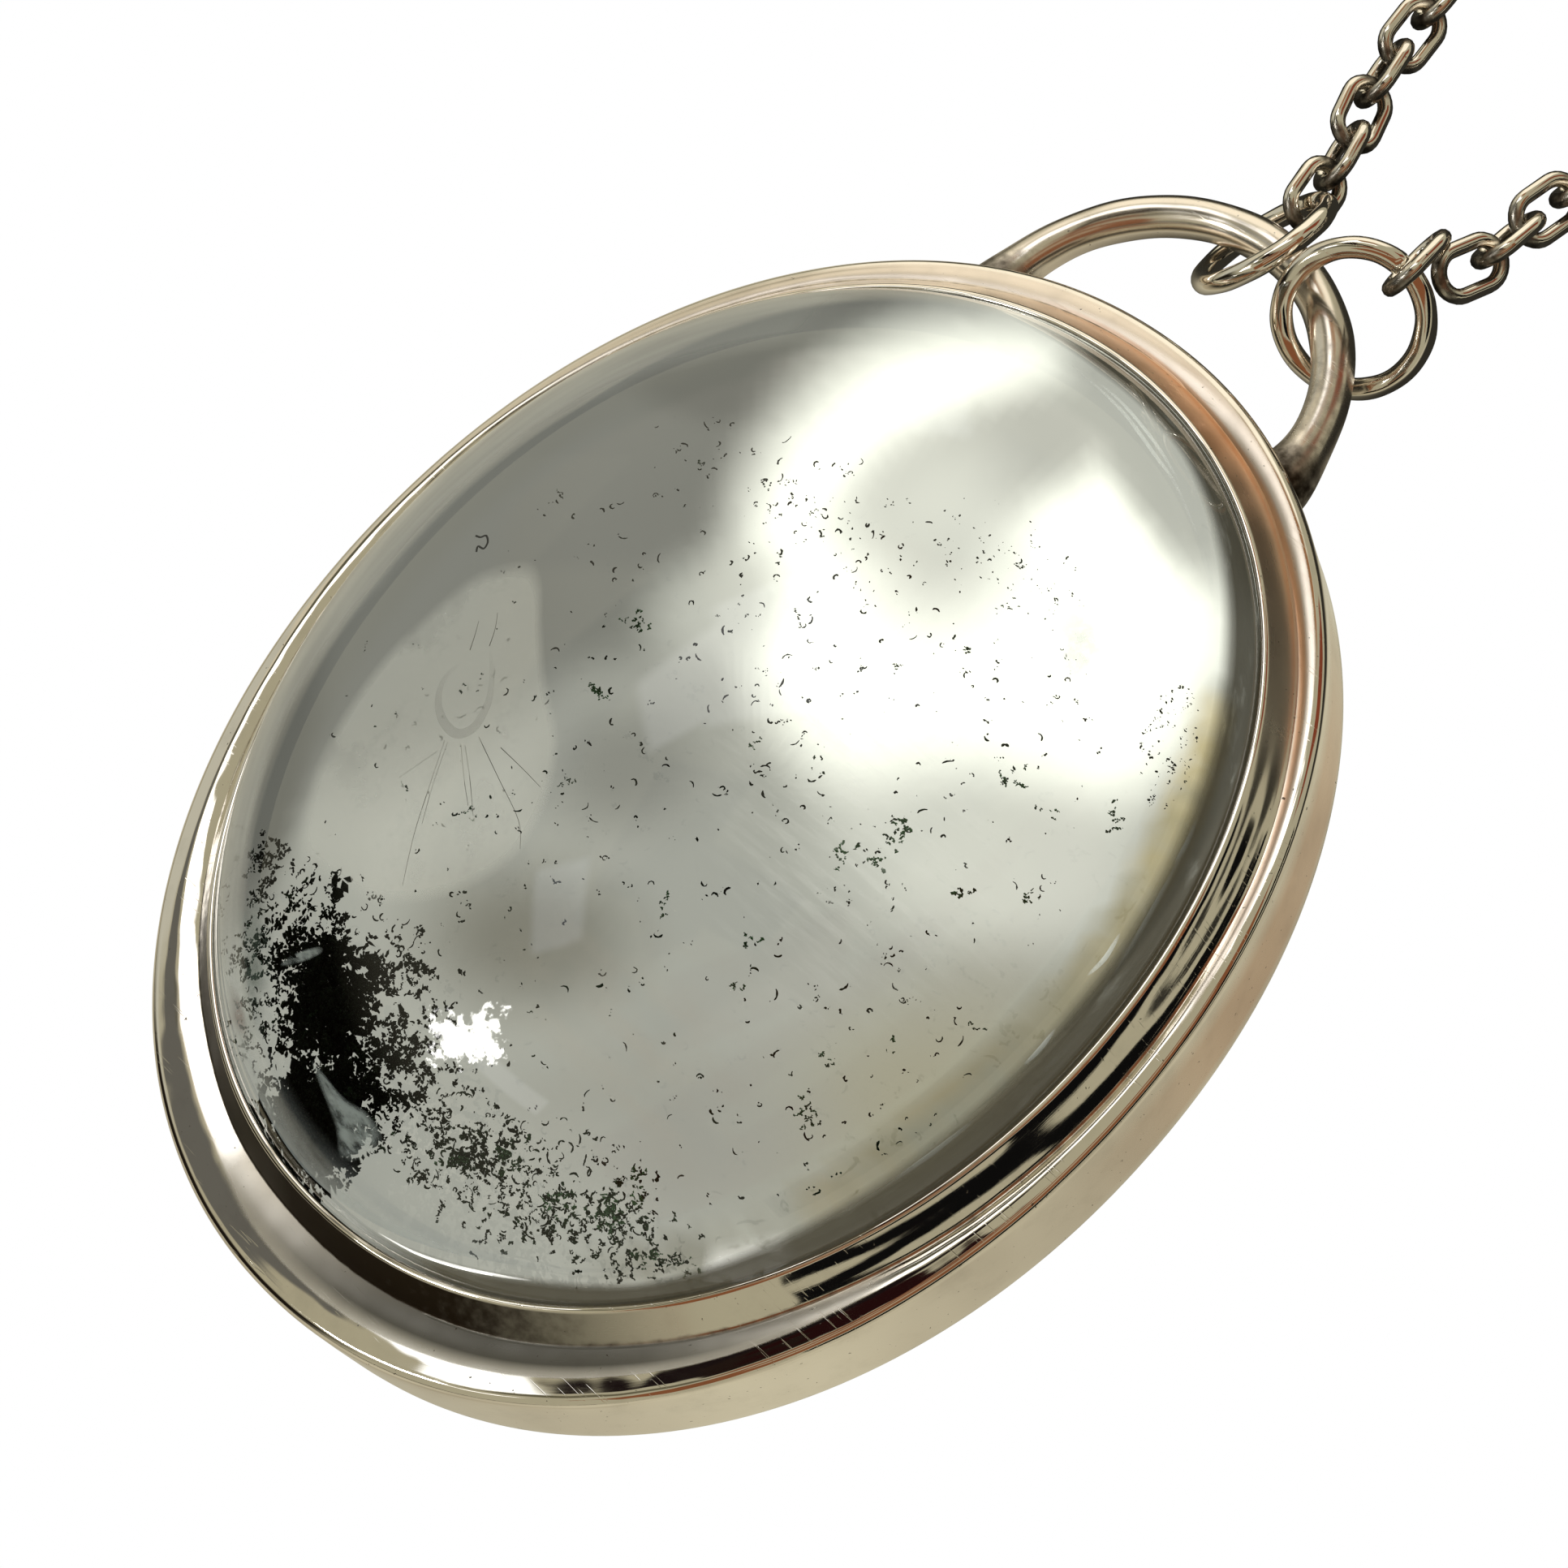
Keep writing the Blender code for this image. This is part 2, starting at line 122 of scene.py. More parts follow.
@dataclass(frozen=True)
class PhotoCamera:
    """The photograph's view, fitted to the frame's ridge, base and lip lines."""

    place: Vector = Vector((44.209, -9.865, 76.135))
    aim: Vector = Vector((-0.386, 1.731, 0.0))
    roll: float = math.radians(-34.70)
    focal_px: float = 4000.0
    frame_px: float = 1932.0

    def axes(self) -> tuple[Vector, Vector, Vector]:
        """The camera's right, up and backward directions.

        Returns:
            Three directions of length one.
        """
        back = (self.place - self.aim).normalized()
        level = Vector((0, 0, 1)).cross(back).normalized()
        upright = back.cross(level)
        right = math.cos(self.roll) * level + math.sin(self.roll) * upright
        return right, back.cross(right), back

    def ray(self, pixel: Pixel) -> Vector:
        """The direction from the camera through a pixel of the photograph.

        Args:
            pixel: A place in the photograph.

        Returns:
            The direction, of length one.
        """
        right, up, back = self.axes()
        half = self.frame_px / 2
        across = (pixel[0] - half) / self.focal_px
        rise = (half - pixel[1]) / self.focal_px
        return (across * right + rise * up - back).normalized()

    def make(self, bench: Bench) -> None:
        """Makes the scene's camera.

        Args:
            bench: Where the pendant lies.
        """
        lens = bpy.data.cameras.new("photo_camera")
        lens.sensor_width = 36.0
        lens.lens = self.focal_px / self.frame_px * lens.sensor_width
        lens.clip_start = 0.001
        lens.clip_end = 20.0
        camera = bpy.data.objects.new("photo_camera", lens)
        bpy.context.scene.collection.objects.link(camera)
        turn = Matrix(self.axes()).transposed().to_4x4()
        camera.matrix_world = Matrix.Translation(bench.at(self.place)) @ turn
        bpy.context.scene.camera = camera


# Node trees


class NodeBench:
    """Adds and links the nodes of one tree."""

    def __init__(self, tree: bpy.types.NodeTree) -> None:
        """Works on a given tree."""
        self.tree = tree

    def add(self, kind: str, inputs: dict | None = None, **settings: object) -> bpy.types.Node:
        """Adds a node.

        Args:
            kind: The node's type name.
            inputs: Values or output sockets, by the input's name or number.
            settings: The node's own properties.

        Returns:
            The new node.
        """
        node = self.tree.nodes.new(kind)
        for key, value in settings.items():
            setattr(node, key, value)
        for key, value in (inputs or {}).items():
            self.feed(node.inputs[key], value)
        return node

    def feed(self, socket: bpy.types.NodeSocket, value: object) -> None:
        """Gives an input a constant, or a link where the value is an output socket.

        Args:
            socket: The input.
            value: A number, numbers, a text, or an output socket.
        """
        if isinstance(value, bpy.types.NodeSocket):
            self.tree.links.new(value, socket)
        elif socket.type == "RGBA" and len(value) == 3:
            socket.default_value = (*value, 1.0)
        else:
            socket.default_value = value

    def out(self, kind: str, inputs: dict | None = None, **settings: object) -> object:
        """The first output of a new node."""
        return self.add(kind, inputs, **settings).outputs[0]

    def math(self, operation: str, first: object, second: object = 0.0, clamp: bool = False) -> object:
        """The output of a Math node."""
        return self.out("ShaderNodeMath", {0: first, 1: second}, operation=operation, use_clamp=clamp)

    def times(self, first: object, second: object, clamp: bool = False) -> object:
        """The product of two values."""
        return self.math("MULTIPLY", first, second, clamp)

    def plus(self, first: object, second: object) -> object:
        """The sum of two values."""
        return self.math("ADD", first, second)

    def less(self, first: object, second: object) -> object:
        """The first value less the second."""
        return self.math("SUBTRACT", first, second)

    def attribute(self, name: str) -> object:
        """The value of one of the mesh's attributes."""
        return self.add("ShaderNodeAttribute", attribute_name=name).outputs["Fac"]

    def scaled(self, place: object, factor: float) -> object:
        """A place times a number."""
        return self.out("ShaderNodeVectorMath", {0: place, "Scale": factor}, operation="SCALE")

    def vector(self, operation: str, first: object, second: object = (0.0, 0.0, 0.0)) -> object:
        """The output of a Vector Math node, the number where it gives one."""
        node = self.add("ShaderNodeVectorMath", {0: first, 1: second}, operation=operation)
        return node.outputs["Value" if operation in ("DOT_PRODUCT", "LENGTH", "DISTANCE") else "Vector"]

    def ramp(self, value: object, low: float, high: float, start: float = 0.0, end: float = 1.0) -> object:
        """A smooth step of a value between two marks."""
        node = self.add("ShaderNodeMapRange", {"Value": value, "From Min": low, "From Max": high,
                                               "To Min": start, "To Max": end},
                        interpolation_type="SMOOTHSTEP")
        return node.outputs["Result"]

    def blend(self, share: object, first: object, second: object) -> object:
        """A mix of two colours.

        Args:
            share: How much of the second colour.
            first: A colour or a socket.
            second: A colour or a socket.

        Returns:
            The mixed colour's socket.
        """
        node = self.add("ShaderNodeMix", data_type="RGBA")
        self.feed(node.inputs[0], share)
        self.feed(node.inputs[6], first)
        self.feed(node.inputs[7], second)
        return node.outputs[2]

    def noise(self, place: object, scale: float, detail: float = 3.0, rough: float = 0.5,
              bend: float = 0.0) -> object:
        """The value of a Noise Texture."""
        node = self.add("ShaderNodeTexNoise", {"Vector": place, "Scale": scale, "Detail": detail,
                                               "Roughness": rough, "Distortion": bend})
        return node.outputs["Fac"]

    def stretch(self, place: object, scale: Triple, turn: float = 0.0) -> object:
        """A place scaled by axis and turned about Z, for grain that runs one way."""
        node = self.add("ShaderNodeMapping", {"Vector": place, "Rotation": (0.0, 0.0, turn), "Scale": scale})
        return node.outputs["Vector"]


def new_group(name: str, inputs: dict, outputs: tuple[str, ...]) -> tuple[object, NodeBench, dict]:
    """Starts a shader node group.

    Args:
        name: The group's name.
        inputs: The inputs' default values by name; a number or three numbers.
        outputs: The names of the number outputs.

    Returns:
        The group's tree, a bench on it, and its input sockets by name.
    """
    tree = bpy.data.node_groups.new(name, "ShaderNodeTree")
    for key, value in inputs.items():
        kind = "NodeSocketVector" if isinstance(value, tuple) else "NodeSocketFloat"
        socket = tree.interface.new_socket(name=key, in_out="INPUT", socket_type=kind)
        socket.default_value = value
    for key in outputs:
        tree.interface.new_socket(name=key, in_out="OUTPUT", socket_type="NodeSocketFloat")
    bench = NodeBench(tree)
    source = bench.add("NodeGroupInput")
    return tree, bench, {key: source.outputs[key] for key in inputs}


class Effects:
    """The shader node groups that several finishes share. Places go in as millimetres."""

    def __init__(self) -> None:
        """Builds both groups once."""
        self.hand_polish = self.build_hand_polish()
        self.tarnish_and_shade = self.build_tarnish_and_shade()

    @staticmethod
    def build_hand_polish() -> bpy.types.NodeTree:
        """Hairlines along the work, stray scratches across it, and soft waves left by the buff.

        Returns:
            The group.
        """
        tree, bench, given = new_group(
            "hand_polish", {"Along": (0.0, 0.0, 0.0), "Place": (0.0, 0.0, 0.0), "Hairlines": 1.0,
                            "Scratches": 1.0, "Waves": 1.0}, ("Height", "Dull"))
        place = given["Place"]
        lines = bench.noise(bench.stretch(given["Along"], (0.35, 26.0, 1.0)), 1.0, 4.0, 0.65)
        stray = 0.0
        for turn, seed in ((0.6, 3.1), (-1.1, 7.7), (2.2, 12.9)):
            moved = bench.stretch(bench.vector("ADD", place, (seed, seed, seed)), (0.5, 15.0, 2.0), turn)
            scratch = bench.ramp(bench.noise(moved, 1.0, 1.0, 0.4, 0.15), 0.70, 0.76)
            stray = bench.math("MAXIMUM", stray, scratch)
        patchy = bench.ramp(bench.noise(place, 0.35, 2.0), 0.42, 0.62)
        stray = bench.times(bench.times(stray, patchy), given["Scratches"])
        wave = bench.times(bench.noise(place, 0.55, 1.0, 0.4), 3.2)
        height = bench.times(bench.times(bench.less(lines, 0.5), given["Hairlines"]), 0.035)
        height = bench.plus(bench.less(height, bench.times(stray, 0.05)), bench.times(wave, given["Waves"]))
        dull = bench.plus(bench.times(lines, given["Hairlines"]), stray)
        bench.add("NodeGroupOutput", {"Height": height, "Dull": dull})
        return tree

    @staticmethod
    def build_tarnish_and_shade() -> bpy.types.NodeTree:
        """Brown grime that gathers in crevices and in faint clouds over the rest. Its depth input also brings
        painted shade, which turns just as dark.

        Returns:
            The group.
        """
        tree, bench, given = new_group(
            "tarnish_and_shade", {"Place": (0.0, 0.0, 0.0), "Crevice": 0.0, "Amount": 1.0}, ("Mask", "Specks"))
        place, amount = given["Place"], given["Amount"]
        cloud = bench.ramp(bench.noise(place, 0.8, 4.0, 0.6), 0.45, 0.85, 0.0, 0.16)
        fray = bench.times(bench.less(bench.noise(place, 3.0, 3.0), 0.5), 0.5)
        deep = bench.ramp(bench.plus(given["Crevice"], fray), 0.35, 0.9)
        mask = bench.math("MAXIMUM", bench.times(cloud, amount), deep, clamp=True)
        specks = bench.times(bench.ramp(bench.noise(place, 5.5, 2.0, 0.7), 0.70, 0.76), amount)
        bench.add("NodeGroupOutput", {"Mask": mask, "Specks": specks})
        return tree


# Finishes


@dataclass(frozen=True)
class SilverFinish:
    """Polished silver with a warm tone, its painted reflections and painted shade, and how much wear and
    grime it carries.
    """

    name: str
    colour: Triple = (0.92, 0.87, 0.79)
    # Painted reflection: the brown of warm surroundings mirrored in the silver, laid on where the reflection
    # attribute is above 0.
    painted_brown_reflection: Triple = (0.70, 0.38, 0.20)
    # Painted shade: a dark colour for dark surroundings mirrored in the silver, laid on where that attribute
    # is below 0.
    painted_dark_reflection: Triple = (0.125, 0.122, 0.108)
    # Grime colour, which also paints a near-black slope where the depth attribute brings painted shade.
    dirt_and_shade: Triple = (0.034, 0.024, 0.015)
    polish: float = 0.02
    hairlines: float = 0.6
    scratches: float = 1.0
    waves: float = 0.6
    tarnish: float = 0.8
    relief: float = 0.02
    along_rim: bool = False

    def material(self, effects: Effects) -> Material:
        """Builds the material.

        Args:
            effects: The shared shader node groups.

        Returns:
            A material that reads Object coordinates and, along the rim, the piece's own UV map.
        """
        material, bench, shader = new_material(self.name)
        place = object_place(bench)
        along = place
        if self.along_rim:
            along = bench.scaled(bench.out("ShaderNodeUVMap", uv_map="rim"), 100.0)
        polish = bench.add("ShaderNodeGroup", {
            "Along": along, "Place": place, "Hairlines": self.hairlines, "Scratches": self.scratches,
            "Waves": self.waves}, node_tree=effects.hand_polish)
        crevice = bench.attribute("crevice")
        tarnish = bench.add("ShaderNodeGroup", {"Place": place, "Crevice": crevice, "Amount": self.tarnish},
                            node_tree=effects.tarnish_and_shade)
        # The mask holds grime and also the painted shade that the depth attribute brings.
        mask = bench.math("MAXIMUM", tarnish.outputs["Mask"], tarnish.outputs["Specks"])
        # The silver's reflections are painted into its colour here: brown above 0, dark below.
        cast = bench.attribute("cast")
        silver = bench.blend(cast, self.colour, self.painted_brown_reflection)
        silver = bench.blend(bench.times(cast, -1.0, clamp=True), silver, self.painted_dark_reflection)
        bench.feed(shader.inputs["Base Color"], bench.blend(mask, silver, self.dirt_and_shade))
        rough = bench.plus(bench.times(polish.outputs["Dull"], 0.06), self.polish)
        rough = bench.plus(rough, bench.times(mask, 0.30))
        rough = bench.plus(rough, bench.ramp(bench.math("ABSOLUTE", cast), 0.0, 0.12, 0.0, 0.24))
        bench.feed(shader.inputs["Roughness"], rough)
        shader.inputs["Metallic"].default_value = 1.0
        bump = bench.add("ShaderNodeBump", {"Strength": 1.0, "Distance": self.relief * MM,
                                            "Height": polish.outputs["Height"]})
        bench.feed(shader.inputs["Normal"], bump.outputs["Normal"])
        return material


@dataclass(frozen=True)
class QuartzFinish:
    """Clear polished quartz."""

    name: str = "clear_quartz"
    tint: Triple = (0.985, 0.99, 0.975)
    refraction: float = 1.544

    def material(self) -> Material:
        """Builds the material: plain glass, with the faintest smear marks on its polish.

        Returns:
            The material.
        """
        material, bench, shader = new_material(self.name)
        place = object_place(bench)
        smear = bench.noise(bench.stretch(place, (0.3, 1.4, 0.5), 0.7), 0.8, 3.0)
        bench.feed(shader.inputs["Roughness"], bench.ramp(smear, 0.55, 0.9, 0.0, 0.03))
        bench.feed(shader.inputs["Base Color"], self.tint)
        shader.inputs["IOR"].default_value = self.refraction
        shader.inputs["Transmission Weight"].default_value = 1.0
        return material


@dataclass(frozen=True)
class MossFinish:
    """Crumbs of green mineral, from near black to leaf green by their own tone."""

    name: str
    dark: Triple = (0.004, 0.007, 0.004)
    leaf: Triple = (0.035, 0.085, 0.040)

    def material(self) -> Material:
        """Builds the material.

        Returns:
            A material that reads the tone attribute.
        """
        material, bench, shader = new_material(self.name)
        shader.inputs["Specular IOR Level"].default_value = 0.1
        tone = bench.attribute("tone")
        grain = bench.noise(object_place(bench), 6.0, 3.0)
        tone = bench.times(tone, bench.ramp(grain, 0.2, 0.7, 0.5, 1.3))
        bench.feed(shader.inputs["Base Color"], bench.blend(tone, self.dark, self.leaf))
        shader.inputs["Roughness"].default_value = 0.75
        return material


@dataclass(frozen=True)
class VeilFinish:
    """A ghostly sheet inside the stone: pale, mostly clear, thinning out to its edge, and glowing with
    painted light.
    """

    name: str
    colour: Triple
    glow: float
    cover: float
    grain: Triple = (1.0, 1.0, 1.0)
    turn: float = 0.0
    streak_low: float = 0.0
    streak_high: float = 0.01

    def material(self) -> Material:
        """Builds the material. The sheet's own veil attribute fades it.

        Returns:
            The material.
        """
        material, bench, shader = new_material(self.name)
        fade = bench.attribute("veil")
        streak = bench.noise(bench.stretch(object_place(bench), self.grain, self.turn), 1.0, 4.0, 0.6)
        cover = bench.times(bench.ramp(streak, self.streak_low, self.streak_high), fade)
        bench.feed(shader.inputs["Alpha"], bench.times(cover, self.cover, clamp=True))
        bench.feed(shader.inputs["Base Color"], self.colour)
        # Painted light: the sheet glows in its own colour, for the light it would scatter.
        bench.feed(shader.inputs["Emission Color"], self.colour)
        shader.inputs["Emission Strength"].default_value = self.glow
        shader.inputs["Roughness"].default_value = 0.8
        return material


def new_material(name: str) -> tuple[Material, NodeBench, bpy.types.Node]:
    """A fresh material, a bench on its nodes, and its Principled shader.

    Args:
        name: The material's name.

    Returns:
        The material, the bench and the shader.
    """
    material = bpy.data.materials.new(name)
    material.use_nodes = True
    return material, NodeBench(material.node_tree), material.node_tree.nodes["Principled BSDF"]


def bare_material(name: str) -> tuple[Material, NodeBench]:
    """A fresh material without a shader, and a bench on its nodes.

    Args:
        name: The material's name.

    Returns:
        The material and the bench.
    """
    material, bench, _ = new_material(name)
    material.node_tree.nodes.clear()
    return material, bench


def object_place(bench: NodeBench) -> object:
    """The Object coordinate in millimetres."""
    return bench.scaled(bench.add("ShaderNodeTexCoord").outputs["Object"], 1 / MM)


# Meshes


def forge(name: str, work: Work, bench: Bench, material: Material,
          sharp: float = 40.0, heal: bool = True) -> Piece:
    """Turns a mesh in millimetres into a piece in the frame.

    Args:
        name: The piece's name.
        work: The mesh, which is freed.
        bench: Where the pendant lies.
        material: The piece's material.
        sharp: Edges bent more than this many degrees are shaded sharp.
        heal: Whether to turn all faces outwards, which open sheets don't need.

    Returns:
        The piece, its object at the origin and its place in its mesh.
    """
    if heal:
        bmesh.ops.recalc_face_normals(work, faces=work.faces)
    for vertex in work.verts:
        vertex.co = bench.at(vertex.co)
    mesh = bpy.data.meshes.new(name)
    work.to_mesh(mesh)
    work.free()
    mesh.materials.append(material)
    mesh.shade_smooth()
    mesh.set_sharp_from_angle(angle=math.radians(sharp))
    piece = bpy.data.objects.new(name, mesh)
    bpy.context.scene.collection.objects.link(piece)
    return piece


def settle(piece: Piece, slot: Slot, *nodes: str) -> Piece:
    """Makes a finished piece ride on the necklace and stand for the given solids.

    Args:
        piece: The piece.
        slot: Not used.
        nodes: The solids it stands for, none for a piece that is only a look.

    Returns:
        The same piece.
    """
    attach(piece, ROOT)
    if nodes:
        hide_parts(*nodes)
    LOG.info("%s: %d faces", piece.name, len(piece.data.polygons))
    return piece


def skin(work: Work, loops: list[list[Vector]], closed: bool) -> list[list[bmesh.types.BMVert]]:
    """Joins equal loops of points with quads, round to the first again where closed.

    Args:
        work: The mesh.
        loops: The loops, as many points in each.
        closed: Whether the last loop is joined to the first.

    Returns:
        The rows of mesh points.
    """
    rows = [[work.verts.new(point) for point in loop] for loop in loops]
    count = len(rows[0])
    for i in range(len(rows) if closed else len(rows) - 1):
        row, following = rows[i], rows[(i + 1) % len(rows)]
        for j in range(count):
            k = (j + 1) % count
            work.faces.new((row[j], row[k], following[k], following[j]))
    return rows


def tube_loops(path: list[Vector], radii: list[float], sides: int, closed: bool) -> list[list[Vector]]:
    """Rings of points round a bent path.

    Args:
        path: The middle of the tube.
        radii: Its radius at each point.
        sides: Points in a ring.
        closed: Whether the path comes back to its start.

    Returns:
        One ring for each point of the path.
    """
    count = len(path)
    loops = []
    across = Vector((0.0, 0.0, 1.0))
    for i, point in enumerate(path):
        before = path[i - 1] if closed or i else point
        after = path[(i + 1) % count] if closed or i < count - 1 else point
        tangent = (after - before).normalized()
        across = across - across.dot(tangent) * tangent
        if across.length < 1e-6:
            across = tangent.orthogonal()
        across.normalize()
        side = tangent.cross(across)
        ring = []
        for j in range(sides):
            turn = 2 * math.pi * j / sides
            ring.append(point + radii[i] * (math.cos(turn) * side + math.sin(turn) * across))
        loops.append(ring)
    return loops


def capped_tube(work: Work, path: list[Vector], radii: list[float], sides: int) -> list[list[object]]:
    """Adds a tube with flat ends.

    Args:
        work: The mesh it goes into.
        path: The middle of the tube.
        radii: Its radius at each point.
        sides: Sides of the tube.

    Returns:
        Its rings of mesh points.
    """
    rows = skin(work, tube_loops(path, radii, sides, False), False)
    work.faces.new(rows[0])
    work.faces.new(rows[-1])
    return rows


def lattice(work: Work, rows: list[list[object]], closed: bool) -> None:
    """Fills an open sheet between rows of mesh points.

    Args:
        work: The mesh.
        rows: The rows, as many points in each.
        closed: Whether each row runs round to its start, so that the first one bounds a face too.
    """
    count = len(rows[0])
    for first, second in zip(rows, rows[1:]):
        for j in range(count if closed else count - 1):
            k = (j + 1) % count
            work.faces.new((first[j], second[j], second[k], first[k]))
    if closed:
        work.faces.new(rows[0])


def bake(piece: Piece) -> None:
    """Turns a piece's live modifiers into a plain mesh.

    Args:
        piece: The piece.
    """
    bpy.context.view_layer.update()
    graph = bpy.context.evaluated_depsgraph_get()
    mesh = bpy.data.meshes.new_from_object(piece.evaluated_get(graph))
    piece.modifiers.clear()
    piece.data = mesh


def solder(piece: Piece, part: Piece, sharp: float) -> None:
    """Joins a second part to a piece as one body.

    Args:
        piece: The piece that stays.
        part: The part that becomes part of it.
        sharp: Edges bent more than this many degrees are shaded sharp.
    """
    union = piece.modifiers.new("soldered", "BOOLEAN")
    union.operation = "UNION"
    union.solver = "EXACT"
    union.object = part
    bake(piece)
    bpy.data.objects.remove(part)
    piece.data.shade_smooth()
    piece.data.set_sharp_from_angle(angle=math.radians(sharp))


def signed_power(value: float, power: float) -> float:
    """A power that keeps the sign."""
    return math.copysign(abs(value) ** power, value)


# The setting


@dataclass
class OvalShape:
    """The frame's and the stone's ovals, in the same sizes as the solids."""

    frame_width: float = 29.5
    frame_length: float = 35.0
    frame_height: float = 3.0
    stone_width: float = 27.0
    stone_length: float = 31.4
    stone_shift: float = 0.47
    ledge_width: float = 1.2
    ledge_thickness: float = 0.8
    girdle_height: float = 1.1
    dome_height: float = 7.8
    oval_fullness: float = 2.06
    dome_fullness: float = 2.05
    lip_rise: float = 0.75

    @property
    def girdle_top(self) -> float:
        """Height where the stone's upright edge turns into the dome."""
        return self.ledge_thickness + self.girdle_height

    @property
    def lip_top(self) -> float:
        """Height of the bezel's lip."""
        return self.frame_height + self.lip_rise

    def oval(self, half_width: float, half_length: float, turn: float, height: float,
             shift: float = 0.0) -> Vector:
        """A point on a slightly squared oval, at a turn in radians from +X.

        Args:
            half_width: Half the oval's width.
            half_length: Half its length.
            turn: Radians from +X.
            height: Above the pendant's back.
            shift: How far the oval lies to +Y.

        Returns:
            The point in millimetres.
        """
        power = 2 / self.oval_fullness
        x = half_width * signed_power(math.cos(turn), power)
        y = half_length * signed_power(math.sin(turn), power)
        return Vector((x, y + shift, height))

    def dome_share(self, height: float) -> float:
        """How much of the girdle's oval the stone still has at a height."""
        rise = min(1.0, max(0.0, height - self.girdle_top) / self.dome_height)
        return (1 - rise ** self.dome_fullness) ** (1 / self.dome_fullness)

    def seat(self, turn: float, height: float, outward: float = 0.0) -> Vector:
        """A point on the stone's side, which follows the dome above the girdle."""
        share = self.dome_share(height)
        return self.oval(self.stone_width / 2 * share + outward, self.stone_length / 2 * share + outward,
                         turn, height, self.stone_shift)

    def rim(self, turn: float, height: float, outward: float = 0.0) -> Vector:
        """A point on the frame's outer oval."""
        return self.oval(self.frame_width / 2 + outward, self.frame_length / 2 + outward, turn, height)


def sway(turn: float, waves: tuple[Triple, ...]) -> float:
    """A hand-made unevenness round the oval: a sum of (size, count, start) waves."""
    return sum(size * math.sin(count * turn + start) for size, count, start in waves)


@dataclass(frozen=True)
class Zone:
    """A stretch of the frame, in degrees round the oval from +X."""

    middle: float
    reach: float

    def at(self, turn: float) -> float:
        """A flat-topped hump: 1 in the zone's middle, 0 beyond its reach."""
        away = math.remainder(turn - math.radians(self.middle), 2 * math.pi) / math.radians(self.reach)
        return math.exp(-(away ** 4))


@dataclass(frozen=True)
class Ripple:
    """A faint hollow in millimetres that the burnisher left down the lip's slope."""

    size: float
    count: int
    zone: Zone


class Mark(NamedTuple):
    """A point of the silver, how deep it lies in grime and painted shade, and its painted reflection: brown
    above 0, dark below.
    """

    point: Vector
    depth: float = 0.0
    cast: float = 0.0


